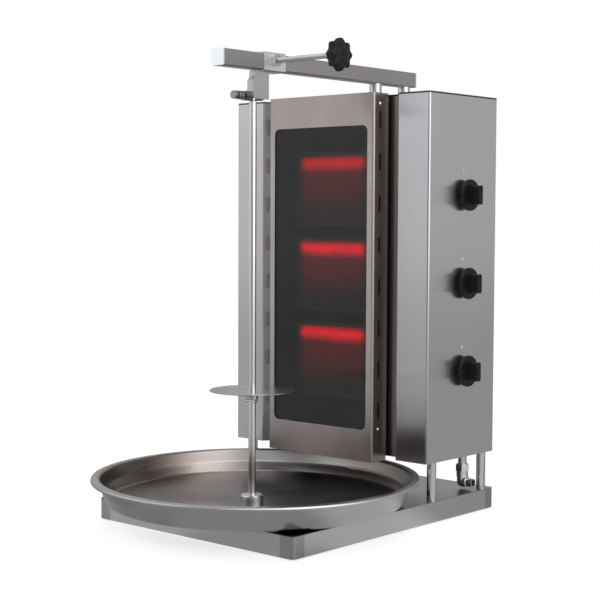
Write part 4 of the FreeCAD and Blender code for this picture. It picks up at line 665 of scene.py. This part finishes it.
def sweepLook():
    made, tree, output = bareMaterial("studioSweep")
    place = addNode(tree, "ShaderNodeTexCoord").outputs["Object"]
    height = splitXYZ(tree, place)[2]
    flat = addNode(tree, "ShaderNodeVectorMath", operation="NORMALIZE")
    tree.links.new(mapped(tree, place, (1, 1, 0)), flat.inputs[0])
    lower = spread(tree, height, *sweep["footRise"], sweep["foot"], 1.0, smooth=True)
    upper = spread(tree, height, *sweep["roofRise"], 1.0, sweep["roof"])
    level = product(tree, lower, upper, sweep["plain"])
    for screen in screens.values():
        bearing, outer, inner = (math.radians(screen[key]) for key in ("bearing", "outer", "inner"))
        toward = dotProduct(tree, flat.outputs[0], (math.cos(bearing), math.sin(bearing), 0))
        share = spread(tree, toward, math.cos(outer), math.cos(inner), 0.0, screen["gain"], smooth=True)
        rise = spread(tree, height, screen["low"], screen["high"], screen["foot"], 1.0, smooth=True)
        level = math1(tree, "ADD", level, product(tree, share, rise))
    glowing = addNode(tree, "ShaderNodeEmission")
    tree.links.new(level, glowing.inputs["Strength"])
    tree.links.new(glowing.outputs[0], output.inputs[0])
    return made


turns = ringAngles(sweep["around"])
sweepOut, sweepUp = np.array(sweep["profile"]).T[:, :, None]
ring = np.stack([sweepOut * np.cos(turns), sweepOut * np.sin(turns), sweepUp * np.ones_like(turns)], -1)
steps = np.arange(len(sweepOut) - 1)[:, None] * len(turns)
thisTurn = np.arange(len(turns))
nextTurn = (thisTurn + 1) % len(turns)
quads = np.stack([steps + thisTurn, steps + nextTurn, steps + len(turns) + nextTurn,
                  steps + len(turns) + thisTurn], -1).reshape(-1, 4)
sweepMesh = bpy.data.meshes.new("studioSweep")
sweepMesh.from_pydata(ring.reshape(-1, 3).tolist(), [], quads.tolist())
sweepMesh.materials.append(sweepLook())
sweepPiece = addObject("studioSweep", sweepMesh)
for rayKind in ("camera", "diffuse", "transmission", "volume_scatter", "shadow"):
    setattr(sweepPiece, f"visible_{rayKind}", False)

# World: plain white to the camera and to mirrored and refracted rays, dimmer as light
worldGlow = dict(seen=1.0, lighting=0.62)
world = bpy.data.worlds.new("studio")
scene.world = world
world.use_nodes = True
sky = world.node_tree
sky.nodes.clear()
seen, lighting = (
    addNode(sky, "ShaderNodeBackground", {"Color": (1, 1, 1, 1), "Strength": worldGlow[key]})
    for key in ("seen", "lighting"))
rays = addNode(sky, "ShaderNodeLightPath")
mirrored = math1(sky, "MAXIMUM", rays.outputs["Is Glossy Ray"], rays.outputs["Is Transmission Ray"])
shown = math1(sky, "MAXIMUM", rays.outputs["Is Camera Ray"], mirrored)
skyMix = addNode(sky, "ShaderNodeMixShader")
skyOut = addNode(sky, "ShaderNodeOutputWorld")
sky.links.new(shown, skyMix.inputs[0])
sky.links.new(lighting.outputs[0], skyMix.inputs[1])
sky.links.new(seen.outputs[0], skyMix.inputs[2])
sky.links.new(skyMix.outputs[0], skyOut.inputs[0])

lampAim = Vector((0, 0.05, 0.45))
lamps = {
    "frontSoftbox": dict(place=(1.3, -2.4, 2.1), size=(1.4, 1.4), power=30.0),
    "leftSoftbox": dict(place=(-2.4, -1.4, 1.5), size=(1.2, 1.8), power=16.0),
    "topSoftbox": dict(place=(0.2, 0.4, 2.9), size=(1.8, 1.8), power=20.0),
}
for name, lamp in lamps.items():
    light = bpy.data.lights.new(name, "AREA")
    light.shape = "RECTANGLE"
    light.size, light.size_y = lamp["size"]
    light.energy = lamp["power"]
    item = addObject(name, light)
    item.visible_glossy = False
    aim = (lampAim - Vector(lamp["place"])).to_track_quat("-Z", "Y")
    item.matrix_world = Matrix.Translation(lamp["place"]) @ aim.to_matrix().to_4x4()

# Camera: solved from the photograph's edges and tubes. Angles are in degrees, focal length in pixels
view = dict(place=(1.77604, -1.97071, 0.57089), yaw=41.44, pitch=3.35, roll=0.26, focal=1404.63,
            pixels=600.0, sensor=36.0, farthest=200.0)
yaw, pitch, roll = (math.radians(view[key]) for key in ("yaw", "pitch", "roll"))
forward = Vector((-math.sin(yaw) * math.cos(pitch), math.cos(yaw) * math.cos(pitch), -math.sin(pitch)))
right = Vector((math.cos(yaw), math.sin(yaw), 0))
upward = right.cross(forward)
rightRolled = math.cos(roll) * right + math.sin(roll) * upward
upRolled = -math.sin(roll) * right + math.cos(roll) * upward
lens = bpy.data.cameras.new("photoCamera")
lens.sensor_width = view["sensor"]
lens.sensor_fit = "HORIZONTAL"
lens.lens = view["focal"] / view["pixels"] * lens.sensor_width
lens.clip_end = view["farthest"]
camera = addObject("photoCamera", lens)
turn = Matrix((rightRolled, upRolled, -forward)).transposed().to_4x4()
camera.matrix_world = Matrix.Translation(view["place"]) @ turn
scene.camera = camera
scene.view_settings.view_transform = "Standard"
print("stage, lamps and camera ready")
